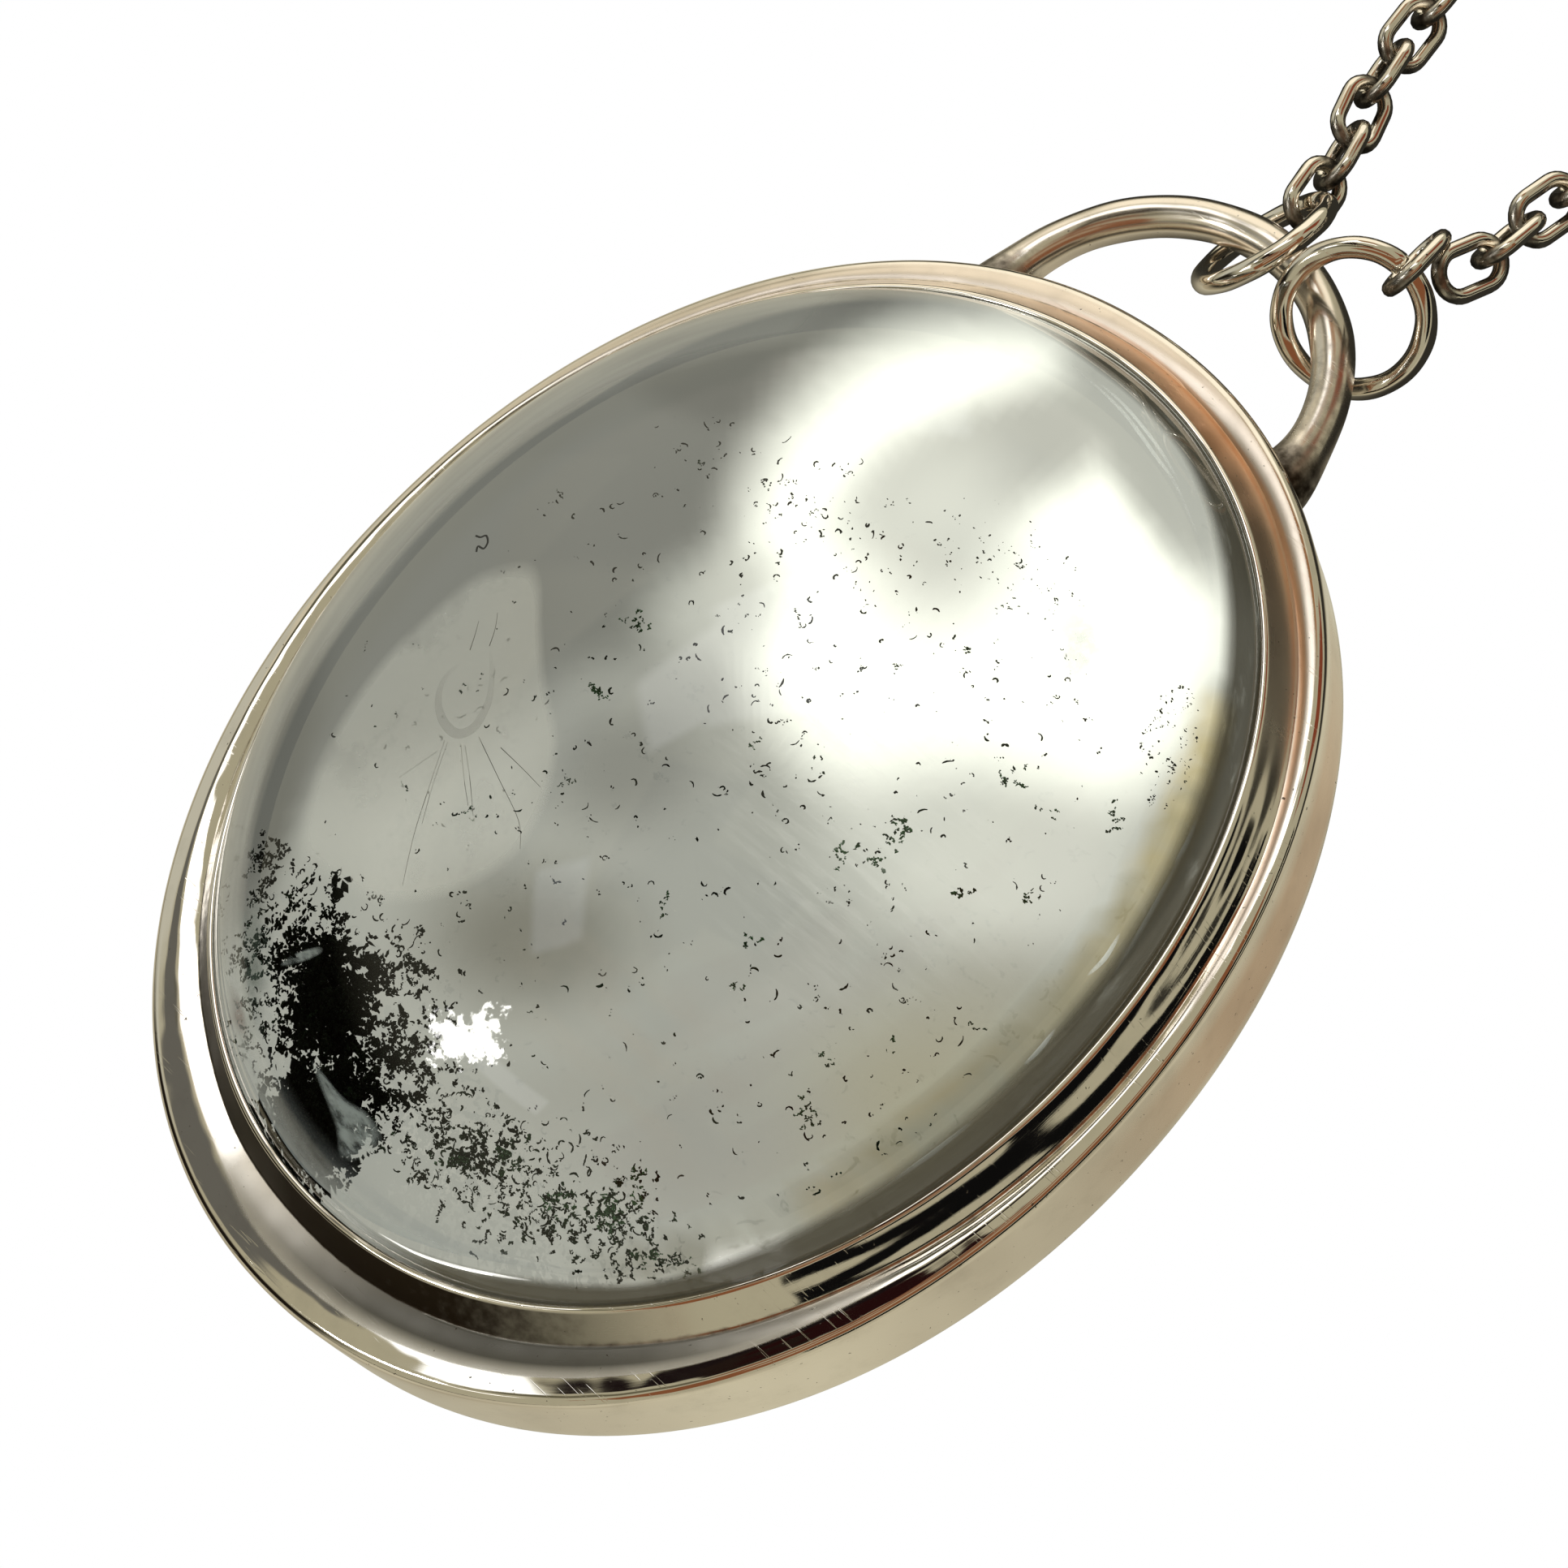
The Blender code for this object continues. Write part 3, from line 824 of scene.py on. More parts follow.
@dataclass
class BezelSetting:
    """The silver frame with its lip and ledge, and the bail soldered to its end."""

    shape: OvalShape
    bench: Bench
    ridge_round: float = 0.32
    back_chamfer: float = 0.15
    face_crown: float = 0.07
    lip_width: float = 0.20
    groove_width: float = 0.62
    groove_depth: float = 0.08
    stone_gap: float = 0.02
    bail_wire: float = 1.2
    bail_radius: float = 5.45
    bail_set_back: float = 1.15
    bail_flare: float = 0.34
    # Painted brown reflection over the whole bail, which also roughens it a little.
    bail_reflection_and_satin: float = 0.07
    # Strengths of the painted reflections and painted shade laid into the silver's colour.
    reflection_share: float = 0.9
    olive_share: float = 0.8
    dark_reflection_share: float = 0.95
    satin_reflection_share: float = 0.16
    wall_reflection_share: float = 0.5
    hump_rise: float = 0.7
    # The bail is darker over this stretch near one of its ends.
    bail_dark_end: Zone = Zone(20.0, 34.0)
    # Painted shade: over this stretch the lip's slope is made near black, for dark surroundings mirrored in
    # it.
    painted_black_slope: Zone = Zone(262.0, 44.0)
    # Painted shade: over this stretch the inner part of the face takes the dark colour, for dark surroundings
    # mirrored in it.
    dark_reflection_zone: Zone = Zone(296.0, 31.0)
    # Painted shade: over this stretch the lip's slope takes the dark colour.
    olive: Zone = Zone(291.0, 20.0)
    # Painted reflection: a brown band on the frame's top right, the warm surroundings mirrored in the silver.
    wear_and_reflection: Zone = Zone(60.0, 40.0)
    reflection_turn: float = math.radians(72.0)
    # The face is darker along its groove edge over this stretch.
    groove_dark_zone: Zone = Zone(88.0, 15.0)
    # Rougher silver over the top, with a faint painted brown reflection.
    satin_and_reflection: Zone = Zone(98.0, 64.0)
    # Painted reflection: over this stretch the outer wall takes a brown tint.
    wall_reflection_zone: Zone = Zone(24.0, 24.0)
    humped: Zone = Zone(207.0, 20.0)
    lip_steps: int = 5
    ridge_steps: int = 7
    chamfer_steps: int = 3
    oval_steps: int = 288
    bail_steps: int = 96
    bail_sides: int = 28
    halvings: int = 40

    # Shares of the slope's run and of its drop, and how deep in the groove's dirt each row lies
    SLOPE = ((0.06, 0.06, 0.0), (0.14, 0.143, 0.0), (0.22, 0.226, 0.0), (0.30, 0.31, 0.0),
             (0.38, 0.392, 0.0), (0.46, 0.475, 0.0), (0.54, 0.557, 0.0), (0.62, 0.64, 0.0),
             (0.70, 0.722, 0.0), (0.78, 0.805, 0.2), (0.86, 0.89, 0.45), (0.93, 0.965, 0.6))
    SLOPE_END = 0.86
    FACE = (0.0, 0.06, 0.14, 0.26, 0.40, 0.55, 0.70, 0.85, 1.0)
    LEVELS = ((1.5, Zone(300.0, 36.0)), (1.9, Zone(120.0, 42.0)))
    RIPPLES = (Ripple(-0.018, 2, Zone(341.0, 13.0)), Ripple(0.018, 2, Zone(5.0, 15.0)),
               Ripple(0.010, 4, Zone(22.0, 12.0)))

    # Waves of the hand-made unevenness, as sway takes them
    LIP_WAVES = ((0.018, 3, 0.4), (0.012, 7, 1.9), (0.008, 13, 0.2))
    GROOVE_WAVES = ((0.035, 2, 2.1), (0.020, 5, 0.7), (0.014, 11, 2.6), (0.010, 17, 1.2))
    CROWN_WAVES = ((0.30, 3, 1.0), (0.22, 5, 2.4), (0.12, 9, 0.3))
    WALL_WAVES = ((0.008, 4, 0.9), (0.006, 9, 2.2), (0.004, 19, 1.3))
    BAIL_WAVES = ((0.008, 9, 0.3), (0.006, 16, 1.1))

    @property
    def bail_centre(self) -> Vector:
        """The middle of the bail's round."""
        return Vector((0.0, self.shape.frame_length / 2 - self.bail_set_back, self.shape.frame_height / 2))

    def section(self, turn: float) -> list[Mark]:
        """The frame's section at one turn.

        Args:
            turn: Radians round the oval from +X.

        Returns:
            Marks from the ledge over the lip, the groove, the face and the ridge to the back.
        """
        shape = self.shape
        # The brown band is a painted reflection.
        wear_and_reflection = self.reflection_share * self.wear_and_reflection.at(turn)
        inward = min(1.0, abs(math.remainder(turn, 2 * math.pi)) / self.reflection_turn)
        groove = self.groove_depth * (1 - sum(share * zone.at(turn) for share, zone in self.LEVELS))
        stray = sway(turn, self.GROOVE_WAVES)
        foot = shape.seat(turn, shape.frame_height - groove, self.groove_width + stray)
        marks = self.lip(turn)
        marks += self.slope(turn, marks[-1].point, foot, wear_and_reflection, inward)
        return marks + self.face(turn, foot, wear_and_reflection, inward) + self.wall(turn)

    def lip(self, turn: float) -> list[Mark]:
        """The ledge, the bezel's inner wall and the rounded lip.

        Args:
            turn: Radians round the oval from +X.

        Returns:
            The marks in their order.
        """
        shape = self.shape
        top, ledge = shape.lip_top, shape.ledge_thickness
        marks = [Mark(shape.seat(turn, height, -shape.ledge_width)) for height in (0.0, 0.12, ledge)]
        marks.append(Mark(shape.seat(turn, ledge - 0.02, -0.08), 0.1))
        marks.append(Mark(shape.seat(turn, ledge + 0.04, self.stone_gap), 0.7))
        for share in (0.0, 0.5, 1.0):
            height = shape.girdle_top + share * (top - shape.girdle_top)
            marks.append(Mark(shape.seat(turn, height, self.stone_gap), 0.7 - 0.1 * share))
        half = (self.lip_width + sway(turn, self.LIP_WAVES)) / 2
        for step in range(1, self.lip_steps + 1):
            bend = math.pi * step / (self.lip_steps + 1)
            point = shape.seat(turn, top, self.stone_gap + half * (1 - math.cos(bend)))
            point.z += 0.6 * half * math.sin(bend)
            marks.append(Mark(point))
        return marks

    def slope(self, turn: float, shoulder: Vector, foot: Vector, wear_and_reflection: float, inward: float) -> list[Mark]:
        """The slope from the lip to the groove, with its ripples.

        Args:
            turn: Radians round the oval from +X.
            shoulder: Where the lip ends.
            foot: The bottom of the groove.
            wear_and_reflection: How much painted brown reflection the silver takes here.
            inward: How far that painted reflection keeps to the frame's inner side.

        Returns:
            The slope's marks, without its two ends.
        """
        # The slope's painted near-black reflection goes in as depth, so it takes the grime colour.
        painted_black_slope = self.painted_black_slope.at(turn)
        cast = wear_and_reflection * inward ** 3 - self.olive_share * self.olive.at(turn)
        marks = []
        for run, drop, depth in self.SLOPE:
            point = shoulder.lerp(foot, run)
            point.z = shoulder.z + drop * (foot.z - shoulder.z)
            for ripple in self.RIPPLES:
                size = ripple.size * ripple.zone.at(turn)
                point.z += size * math.sin(math.pi * ripple.count * min(1.0, run / self.SLOPE_END))
            marks.append(Mark(point, max(depth * (1 - wear_and_reflection), painted_black_slope), cast))
        return marks

    def face(self, turn: float, foot: Vector, wear_and_reflection: float, inward: float) -> list[Mark]:
        """The crowned face and the round of its outer ridge.

        Args:
            turn: Radians round the oval from +X.
            foot: The bottom of the groove, where the face starts.
            wear_and_reflection: How much painted brown reflection the silver takes here.
            inward: How far that painted reflection keeps to the frame's inner side.

        Returns:
            The marks from the groove to the top of the wall.
        """
        shape = self.shape
        outer = shape.rim(turn, shape.frame_height, -self.ridge_round)
        crown = self.face_crown * (1 + sway(turn, self.CROWN_WAVES))
        crown *= 1 + self.hump_rise * self.humped.at(turn)
        crown *= min(1.0, (outer - foot).length / 1.1)
        # The face darkens along its groove edge, least where the painted brown reflection is strongest.
        groove_dark = 0.5 * (1 - wear_and_reflection) + 0.5 * self.groove_dark_zone.at(turn)
        # Painted dark reflection over the face's inner part.
        painted_dark_reflection = self.dark_reflection_share * self.dark_reflection_zone.at(turn)
        satin_and_reflection = self.satin_reflection_share * self.satin_and_reflection.at(turn)
        marks = []
        for share in self.FACE:
            point = foot.lerp(outer, share)
            point.z += crown * 4 * share * (1 - share)
            painted_brown_reflection = wear_and_reflection * math.exp(-((share - 0.8 * (1 - inward)) / (0.34 - 0.10 * inward)) ** 4)
            cast = max(painted_brown_reflection, satin_and_reflection) - painted_dark_reflection * min(1.0, max(0.0, 2.6 - 4 * share))
            marks.append(Mark(point, max(0.0, groove_dark - 9 * share), cast))
        for step in range(1, self.ridge_steps + 1):
            bend = math.pi / 2 * step / self.ridge_steps
            height = shape.frame_height - self.ridge_round * (1 - math.cos(bend))
            marks.append(Mark(shape.rim(turn, height, self.ridge_round * (math.sin(bend) - 1))))
        return marks

    def wall(self, turn: float) -> list[Mark]:
        """The outer wall with its small dents, down to the chamfered back edge.

        Args:
            turn: Radians round the oval from +X.

        Returns:
            The marks in their order.
        """
        shape = self.shape
        tall = shape.frame_height - self.ridge_round - self.back_chamfer
        dent = sway(turn, self.WALL_WAVES)
        # The outer wall's painted brown reflection.
        wall_reflection = self.wall_reflection_share * self.wall_reflection_zone.at(turn)
        marks = [Mark(shape.rim(turn, self.back_chamfer + tall * (1 - share), dent), 0.1 * share, wall_reflection)
                 for share in (0.3, 0.6, 0.85)]
        for step in range(self.chamfer_steps + 1):
            bend = math.pi / 2 * step / self.chamfer_steps
            outward = -self.back_chamfer * (1 - math.cos(bend))
            marks.append(Mark(shape.rim(turn, self.back_chamfer * (1 - math.sin(bend)), outward), 0.4))
        return marks

    def bail_start(self) -> float:
        """The turn at which the bail's wire meets the middle of the frame's wall.

        Returns:
            The turn in radians from +X, round the bail's middle.
        """
        low, high = math.radians(-60.0), math.radians(40.0)
        for _ in range(self.halvings):
            middle = (high + low) / 2
            spot = self.bail_centre + self.bail_radius * Vector((math.cos(middle), math.sin(middle), 0.0))
            toward = math.atan2(spot.y / self.shape.frame_length, spot.x / self.shape.frame_width)
            wall = self.shape.rim(toward, spot.z).lerp(self.shape.seat(toward, spot.z), 0.5)
            if spot.xy.length > wall.xy.length:
                high = middle
            else:
                low = middle
        return low

    def frame_mesh(self) -> Work:
        """The frame, with its rim UV map in centimetres and its attributes of grime and painted shade, and of
        painted reflection.

        Returns:
            The mesh in millimetres.
        """
        work = bmesh.new()
        sections = [self.section(2 * math.pi * i / self.oval_steps) for i in range(self.oval_steps)]
        crevice = work.verts.layers.float.new("crevice")
        cast = work.verts.layers.float.new("cast")
        rim = work.loops.layers.uv.new("rim")
        rows = skin(work, [[mark.point for mark in section] for section in sections], True)
        for row, section in zip(rows, sections):
            for vertex, mark in zip(row, section):
                vertex[crevice] = mark.depth
                vertex[cast] = mark.cast
        lengths = [0.0]
        for before, after in zip(sections[0], sections[0][1:]):
            lengths.append(lengths[-1] + (after.point - before.point).length)
        girth = math.pi * (self.shape.frame_width + self.shape.frame_length) / 2
        place = {}
        for i, row in enumerate(rows):
            for j, vertex in enumerate(row):
                place[vertex] = (i, lengths[j])
        for face in work.faces:
            last = any(place[v][0] == 0 for v in face.verts) and any(place[v][0] > 1 for v in face.verts)
            for loop in face.loops:
                i, across = place[loop.vert]
                around = (self.oval_steps if last and i == 0 else i) / self.oval_steps * girth
                loop[rim].uv = (around / 100, across / 100)
        return work

    def bail_mesh(self) -> Work:
        """The bail's wire, flared where the solder runs up it, with a small dent and nick.

        Returns:
            The mesh in millimetres, with the same attributes.
        """
        work = bmesh.new()
        start = self.bail_start()
        sweep = math.pi - 2 * start
        path, radii, soldered = [], [], []
        for i in range(self.bail_steps + 1):
            share = i / self.bail_steps
            turn = start + sweep * share
            path.append(self.bail_centre + self.bail_radius * Vector((math.cos(turn), math.sin(turn), 0.0)))
            reach = min(share, 1 - share) * sweep * self.bail_radius
            flare = self.bail_flare * math.exp(-((reach / 1.35) ** 2))
            radii.append(self.bail_wire / 2 + flare + sway(turn, self.BAIL_WAVES))
            soldered.append(max(0.85 * math.exp(-((reach / 2.4) ** 2)), 0.5 * self.bail_dark_end.at(turn)))
        crevice = work.verts.layers.float.new("crevice")
        cast = work.verts.layers.float.new("cast")
        for row, depth in zip(capped_tube(work, path, radii, self.bail_sides), soldered):
            for vertex in row:
                vertex[crevice] = depth
                vertex[cast] = self.bail_reflection_and_satin
        return work

    def make(self, material: Material) -> Piece:
        """Builds the setting as one body.

        Args:
            material: The silver of the whole setting.

        Returns:
            The piece that stands for the solid setting.
        """
        frame = forge("polished_setting", self.frame_mesh(), self.bench, material)
        bail = forge("bail_wire", self.bail_mesh(), self.bench, material)
        marks = surface_marks(frame.data) + surface_marks(bail.data)
        solder(frame, bail, 40.0)
        mark_surface(frame.data, marks)
        return settle(frame, Slot.SETTING, "bezel_setting")


def surface_marks(mesh: bpy.types.Mesh) -> list[Mark]:
    """Every point of a mesh with its depth of grime and painted shade, and its painted reflection.

    Args:
        mesh: A mesh with both attributes.

    Returns:
        One mark for each point.
    """
    depths, casts = mesh.attributes["crevice"].data, mesh.attributes["cast"].data
    return [Mark(vertex.co.copy(), depth.value, cast.value)
            for vertex, depth, cast in zip(mesh.vertices, depths, casts)]


def mark_surface(mesh: bpy.types.Mesh, marks: list[Mark]) -> None:
    """Gives each point of a joined mesh what the nearest point of its parts had.

    Args:
        mesh: The joined mesh.
        marks: The points of its parts, in the mesh's own units.
    """
    tree = KDTree(len(marks))
    for i, mark in enumerate(marks):
        tree.insert(mark.point, i)
    tree.balance()
    for i, vertex in enumerate(mesh.vertices):
        mark = marks[tree.find(vertex.co)[1]]
        mesh.attributes["crevice"].data[i].value = mark.depth
        mesh.attributes["cast"].data[i].value = mark.cast


# The stone


@dataclass
class QuartzCabochon:
    """The clear stone, and where a ray of the photograph runs inside it."""

    shape: OvalShape
    bench: Bench
    camera: PhotoCamera
    back_gap: float = 0.02
    edge: float = 0.22
    refraction: float = 1.544
    around: int = 192
    up: int = 64
    search_steps: int = 120
    halvings: int = 30

    def make(self, material: Material) -> Piece:
        """Builds the stone: a flat back, a small bevel, the girdle and the dome.

        Args:
            material: The quartz.

        Returns:
            The piece that stands for the solid stone.
        """
        shape = self.shape
        bottom = shape.ledge_thickness + self.back_gap
        levels = [(bottom, self.edge + 0.2), (bottom, self.edge + 0.1), (bottom, self.edge)]
        for step in range(1, 5):
            bend = math.pi / 2 * step / 4
            levels.append((bottom + self.edge * math.sin(bend), self.edge * (1 - math.sin(bend))))
        levels.append((shape.girdle_top - 0.05, 0.0))
        for step in range(self.up):
            bend = math.pi / 2 * step / self.up
            levels.append((shape.girdle_top + shape.dome_height * math.sin(bend), 0.0))
        work = bmesh.new()
        turns = [2 * math.pi * i / self.around for i in range(self.around)]
        loops = [[shape.seat(turn, height, -inset) for turn in turns] for height, inset in levels]
        rows = skin(work, loops, False)
        work.faces.new(rows[0])
        top = work.verts.new((0.0, shape.stone_shift, shape.girdle_top + shape.dome_height))
        for i in range(self.around):
            work.faces.new((rows[-1][i], rows[-1][(i + 1) % self.around], top))
        return settle(forge("quartz_cabochon", work, self.bench, material, 60.0), Slot.STONE, "quartz_stone")

    def excess(self, point: Vector) -> float:
        """Above zero outside the dome, below zero inside it.

        Args:
            point: In millimetres.

        Returns:
            The excess, zero on the dome's surface.
        """
        shape = self.shape
        rise = max(0.0, point.z - shape.girdle_top) / shape.dome_height
        x = abs(point.x) / (shape.stone_width / 2)
        y = abs(point.y - shape.stone_shift) / (shape.stone_length / 2)
        flat = (x ** shape.oval_fullness + y ** shape.oval_fullness) ** (1 / shape.oval_fullness)
        return flat ** shape.dome_fullness + rise ** shape.dome_fullness - 1

    def enter(self, pixel: Pixel) -> tuple[Vector, Vector] | None:
        """Follows the camera's ray through a pixel into the stone.

        Args:
            pixel: A place in the photograph.

        Returns:
            Where the ray meets the dome and how it runs on inside, or None where it misses.
        """
        ray = self.camera.ray(pixel)
        start = self.camera.place
        near = (self.shape.girdle_top + self.shape.dome_height - start.z) / ray.z
        far = (self.shape.girdle_top - start.z) / ray.z
        for i in range(1, self.search_steps + 1):
            reach = near + (far - near) * i / self.search_steps
            if self.excess(start + reach * ray) < 0:
                low, high = reach - (far - near) / self.search_steps, reach
                for _ in range(self.halvings):
                    middle = (low + high) / 2
                    if self.excess(start + middle * ray) > 0:
                        low = middle
                    else:
                        high = middle
                spot = start + high * ray
                return spot, bend_ray(ray, self.normal(spot), 1 / self.refraction)
        return None

    def normal(self, spot: Vector) -> Vector:
        """The dome's outward direction at a point.

        Args:
            spot: A point of the dome's surface.

        Returns:
            The direction, of length one.
        """
        step = 0.001
        slope = [self.excess(spot + step * axis) - self.excess(spot - step * axis)
                 for axis in (Vector((1, 0, 0)), Vector((0, 1, 0)), Vector((0, 0, 1)))]
        return Vector(slope).normalized()

    def inside(self, pixel: Pixel, height: float) -> Vector | None:
        """The point inside the stone that shows at a pixel, at a height above the back.

        Args:
            pixel: A place in the photograph.
            height: Millimetres above the pendant's back.

        Returns:
            The point, or None where the pixel misses the stone or the height lies above the dome.
        """
        entry = self.enter(pixel)
        if entry is None:
            return None
        spot, ray = entry
        reach = (height - spot.z) / ray.z
        if reach < 0:
            return None
        point = spot + reach * ray
        return point if self.excess(point) < -0.02 else None

    def below(self, pixel: Pixel) -> Vector | None:
        """The point of the surface under the pendant that shows through the stone at a pixel.

        Args:
            pixel: A place in the photograph.

        Returns:
            The point, or None where no light gets through.
        """
        entry = self.enter(pixel)
        if entry is None:
            return None
        spot, ray = entry
        back = self.shape.ledge_thickness + self.back_gap
        foot = spot + (back - spot.z) / ray.z * ray
        out = bend_ray(ray, Vector((0, 0, 1)), self.refraction)
        if out is None:
            return None
        return foot + (0.0 - foot.z) / out.z * out


def bend_ray(ray: Vector, normal: Vector, ratio: float) -> Vector | None:
    """Refracts a ray that meets a surface from the normal's side.

    Args:
        ray: The ray's direction.
        normal: The surface's direction towards where the ray comes from.
        ratio: The first side's refraction over the second's.

    Returns:
        The direction beyond, or None where all of it is thrown back.
    """
    cosine = -ray.dot(normal)
    rest = 1 - ratio * ratio * (1 - cosine * cosine)
    if rest < 0:
        return None
    return (ratio * ray + (ratio * cosine - math.sqrt(rest)) * normal).normalized()


# Inside the stone


@dataclass(frozen=True)
class Spot:
    """A turned oval in the photograph: its middle and reaches in pixels, its turn in degrees."""

    name: str
    x: float
    y: float
    reach_x: float
    reach_y: float
    turn: float


@dataclass(frozen=True)
class Thicket(Spot):
    """A growth of moss: where it shows in the photograph, and how it is made up."""

    trails: int
    steps: int
    size: float
    tone: float
    low: float = 2.4
    high: float = 4.6


@dataclass(frozen=True)
class Drift(Spot):
    """A loose scatter of single curls and specks."""

    curls: int
    specks: int
    size: float
    tone: float
    low: float = 2.0
    high: float = 4.8


class MossGarden:
    """The green and black growths inside the stone, each crumb set on the ray that shows it."""

    PX_PER_MM = 45.0
    DENSE = (
        Thicket("heart", 400, 1225, 52, 104, -14, 230, 14, 0.165, 0.02),
        Thicket("heart_core", 412, 1250, 34, 84, -12, 50, 8, 0.34, 0.00, 2.4, 3.8),
        Thicket("root", 385, 1385, 52, 70, 20, 190, 14, 0.19, 0.00, 2.0, 4.0),
        Thicket("root_core", 378, 1392, 42, 58, 20, 70, 9, 0.42, 0.00, 1.8, 3.2),
        Thicket("left_cloud", 330, 1180, 62, 120, -8, 130, 9, 0.105, 0.22, 2.0, 4.2),
        Thicket("top_knots", 330, 1055, 28, 34, 10, 18, 10, 0.13, 0.05, 3.0, 4.6),
        Thicket("shoulder", 500, 1200, 38, 46, 0, 44, 10, 0.115, 0.05),
        Thicket("south_knot", 480, 1315, 62, 46, 10, 70, 11, 0.125, 0.10),
        Thicket("skirt", 560, 1420, 110, 50, 25, 80, 8, 0.09, 0.20, 1.8, 3.8),
        Thicket("green_lobe", 585, 1425, 24, 18, 0, 16, 10, 0.13, 0.25, 2.4, 3.6),
        Thicket("hem", 690, 1500, 120, 56, 18, 70, 7, 0.085, 0.50, 1.6, 3.4),
        Thicket("hem_end", 800, 1560, 66, 32, 15, 26, 6, 0.08, 0.40, 1.4, 3.0),
        Thicket("edge_haze", 300, 1290, 30, 90, -12, 36, 7, 0.09, 0.40, 1.6, 3.0),
        Thicket("east_arm", 500, 1300, 60, 70, 0, 60, 8, 0.10, 0.12, 2.0, 3.8),
        Thicket("hem_knots", 620, 1470, 150, 60, 20, 44, 12, 0.10, 0.45, 1.6, 3.2),
        Thicket("long_hem", 760, 1520, 110, 46, 15, 46, 8, 0.09, 0.55, 1.6, 3.0),
    )
    TUFTS = tuple(Thicket("tuft", *row) for row in (
        (786, 770, 14, 18, 0, 12, 6, 0.085, 0.45), (735, 850, 12, 14, 0, 10, 6, 0.085, 0.60),
        (706, 962, 9, 11, 0, 5, 5, 0.065, 0.20), (575, 1000, 16, 11, 0, 6, 5, 0.065, 0.35),
        (576, 835, 20, 17, 0, 6, 5, 0.065, 0.10), (498, 970, 8, 6, 0, 4, 4, 0.075, 0.20),
        (822, 1110, 18, 15, 0, 8, 5, 0.07, 0.50), (920, 1155, 9, 14, 0, 8, 5, 0.075, 0.70),
        (905, 1215, 12, 10, 0, 5, 5, 0.075, 0.60), (935, 912, 17, 9, -30, 5, 5, 0.065, 0.50),
        (1040, 1050, 12, 17, 0, 10, 6, 0.085, 0.85), (1108, 1020, 16, 26, 20, 16, 6, 0.09, 0.90),
        (1080, 1060, 15, 11, 0, 8, 5, 0.075, 0.70), (1240, 960, 14, 13, 0, 10, 6, 0.08, 0.65),
        (1375, 1005, 10, 16, 0, 10, 6, 0.075, 0.40), (1180, 1105, 16, 6, 0, 6, 5, 0.075, 0.50),
        (1265, 1100, 11, 11, 0, 7, 5, 0.075, 0.55), (1020, 1305, 8, 14, 0, 6, 5, 0.075, 0.65),
        (1105, 1285, 13, 9, 40, 4, 5, 0.075, 0.60), (995, 1375, 15, 17, 0, 15, 6, 0.075, 0.45),
        (1205, 1268, 11, 9, 0, 4, 5, 0.065, 0.35), (1240, 745, 8, 10, 0, 5, 4, 0.055, 0.60),
        (1192, 800, 6, 6, 0, 4, 4, 0.065, 0.20), (1108, 820, 8, 5, 50, 5, 4, 0.055, 0.30),
        (985, 760, 11, 9, 0, 4, 4, 0.065, 0.10), (1003, 633, 6, 11, 0, 4, 4, 0.055, 0.10),
        (866, 570, 9, 8, 0, 4, 4, 0.065, 0.15), (690, 602, 7, 8, 0, 4, 4, 0.06, 0.10),
        (915, 760, 11, 11, 0, 4, 4, 0.055, 0.15), (945, 600, 5, 4, 0, 3, 3, 0.06, 0.30),
        (750, 1500, 24, 24, 0, 14, 7, 0.08, 0.80), (1290, 1000, 26, 8, 10, 5, 5, 0.055, 0.45),
        (860, 1590, 18, 10, 10, 6, 5, 0.07, 0.25), (684, 1486, 20, 16, 0, 14, 7, 0.10, 0.85),
        (757, 1493, 26, 20, 0, 20, 7, 0.10, 0.90), (787, 1460, 13, 20, 0, 9, 6, 0.09, 0.85),
        (797, 1550, 24, 12, 0, 12, 6, 0.09, 0.60), (624, 1423, 17, 17, 0, 14, 7, 0.12, 0.30),
        (850, 1568, 18, 12, 0, 10, 6, 0.08, 0.40), (563, 1432, 26, 12, 20, 16, 7, 0.12, 0.30),
        (1010, 940, 9, 9, 0, 4, 4, 0.06, 0.40),
    ))
    DRIFTS = (
        Drift("middle", 900, 850, 330, 330, -25, 130, 120, 0.19, 0.12),
        Drift("right", 1120, 880, 230, 330, -20, 70, 90, 0.16, 0.25),
        Drift("low", 880, 1330, 320, 170, -10, 90, 70, 0.19, 0.25, 1.8, 4.0),
        Drift("left", 560, 1000, 160, 240, -20, 40, 50, 0.15, 0.20),
        Drift("upper", 960, 620, 190, 80, 25, 36, 40, 0.17, 0.10),
        Drift("dust", 1240, 690, 110, 60, 35, 6, 70, 0.08, 0.20),
        Drift("dust_edge", 1440, 920, 34, 80, 10, 8, 80, 0.08, 0.15, 2.0, 3.4),
        Drift("skirt_curls", 640, 1440, 190, 80, 20, 190, 90, 0.20, 0.25, 1.8, 3.8),
        Drift("heart_curls", 410, 1230, 120, 180, -8, 190, 90, 0.22, 0.05),
    )
    SPECK = 0.055
    BRANCHING = 0.28
    CLINGING = 0.45
    LONG_CURL = ((586, 660), (592, 662), (599, 660), (601, 668), (596, 676), (589, 673), (587, 680))

    def __init__(self, stone: QuartzCabochon, seed: int = 41) -> None:
        """Grows the garden inside a given stone."""
        self.stone = stone
        self.dice = random.Random(seed)

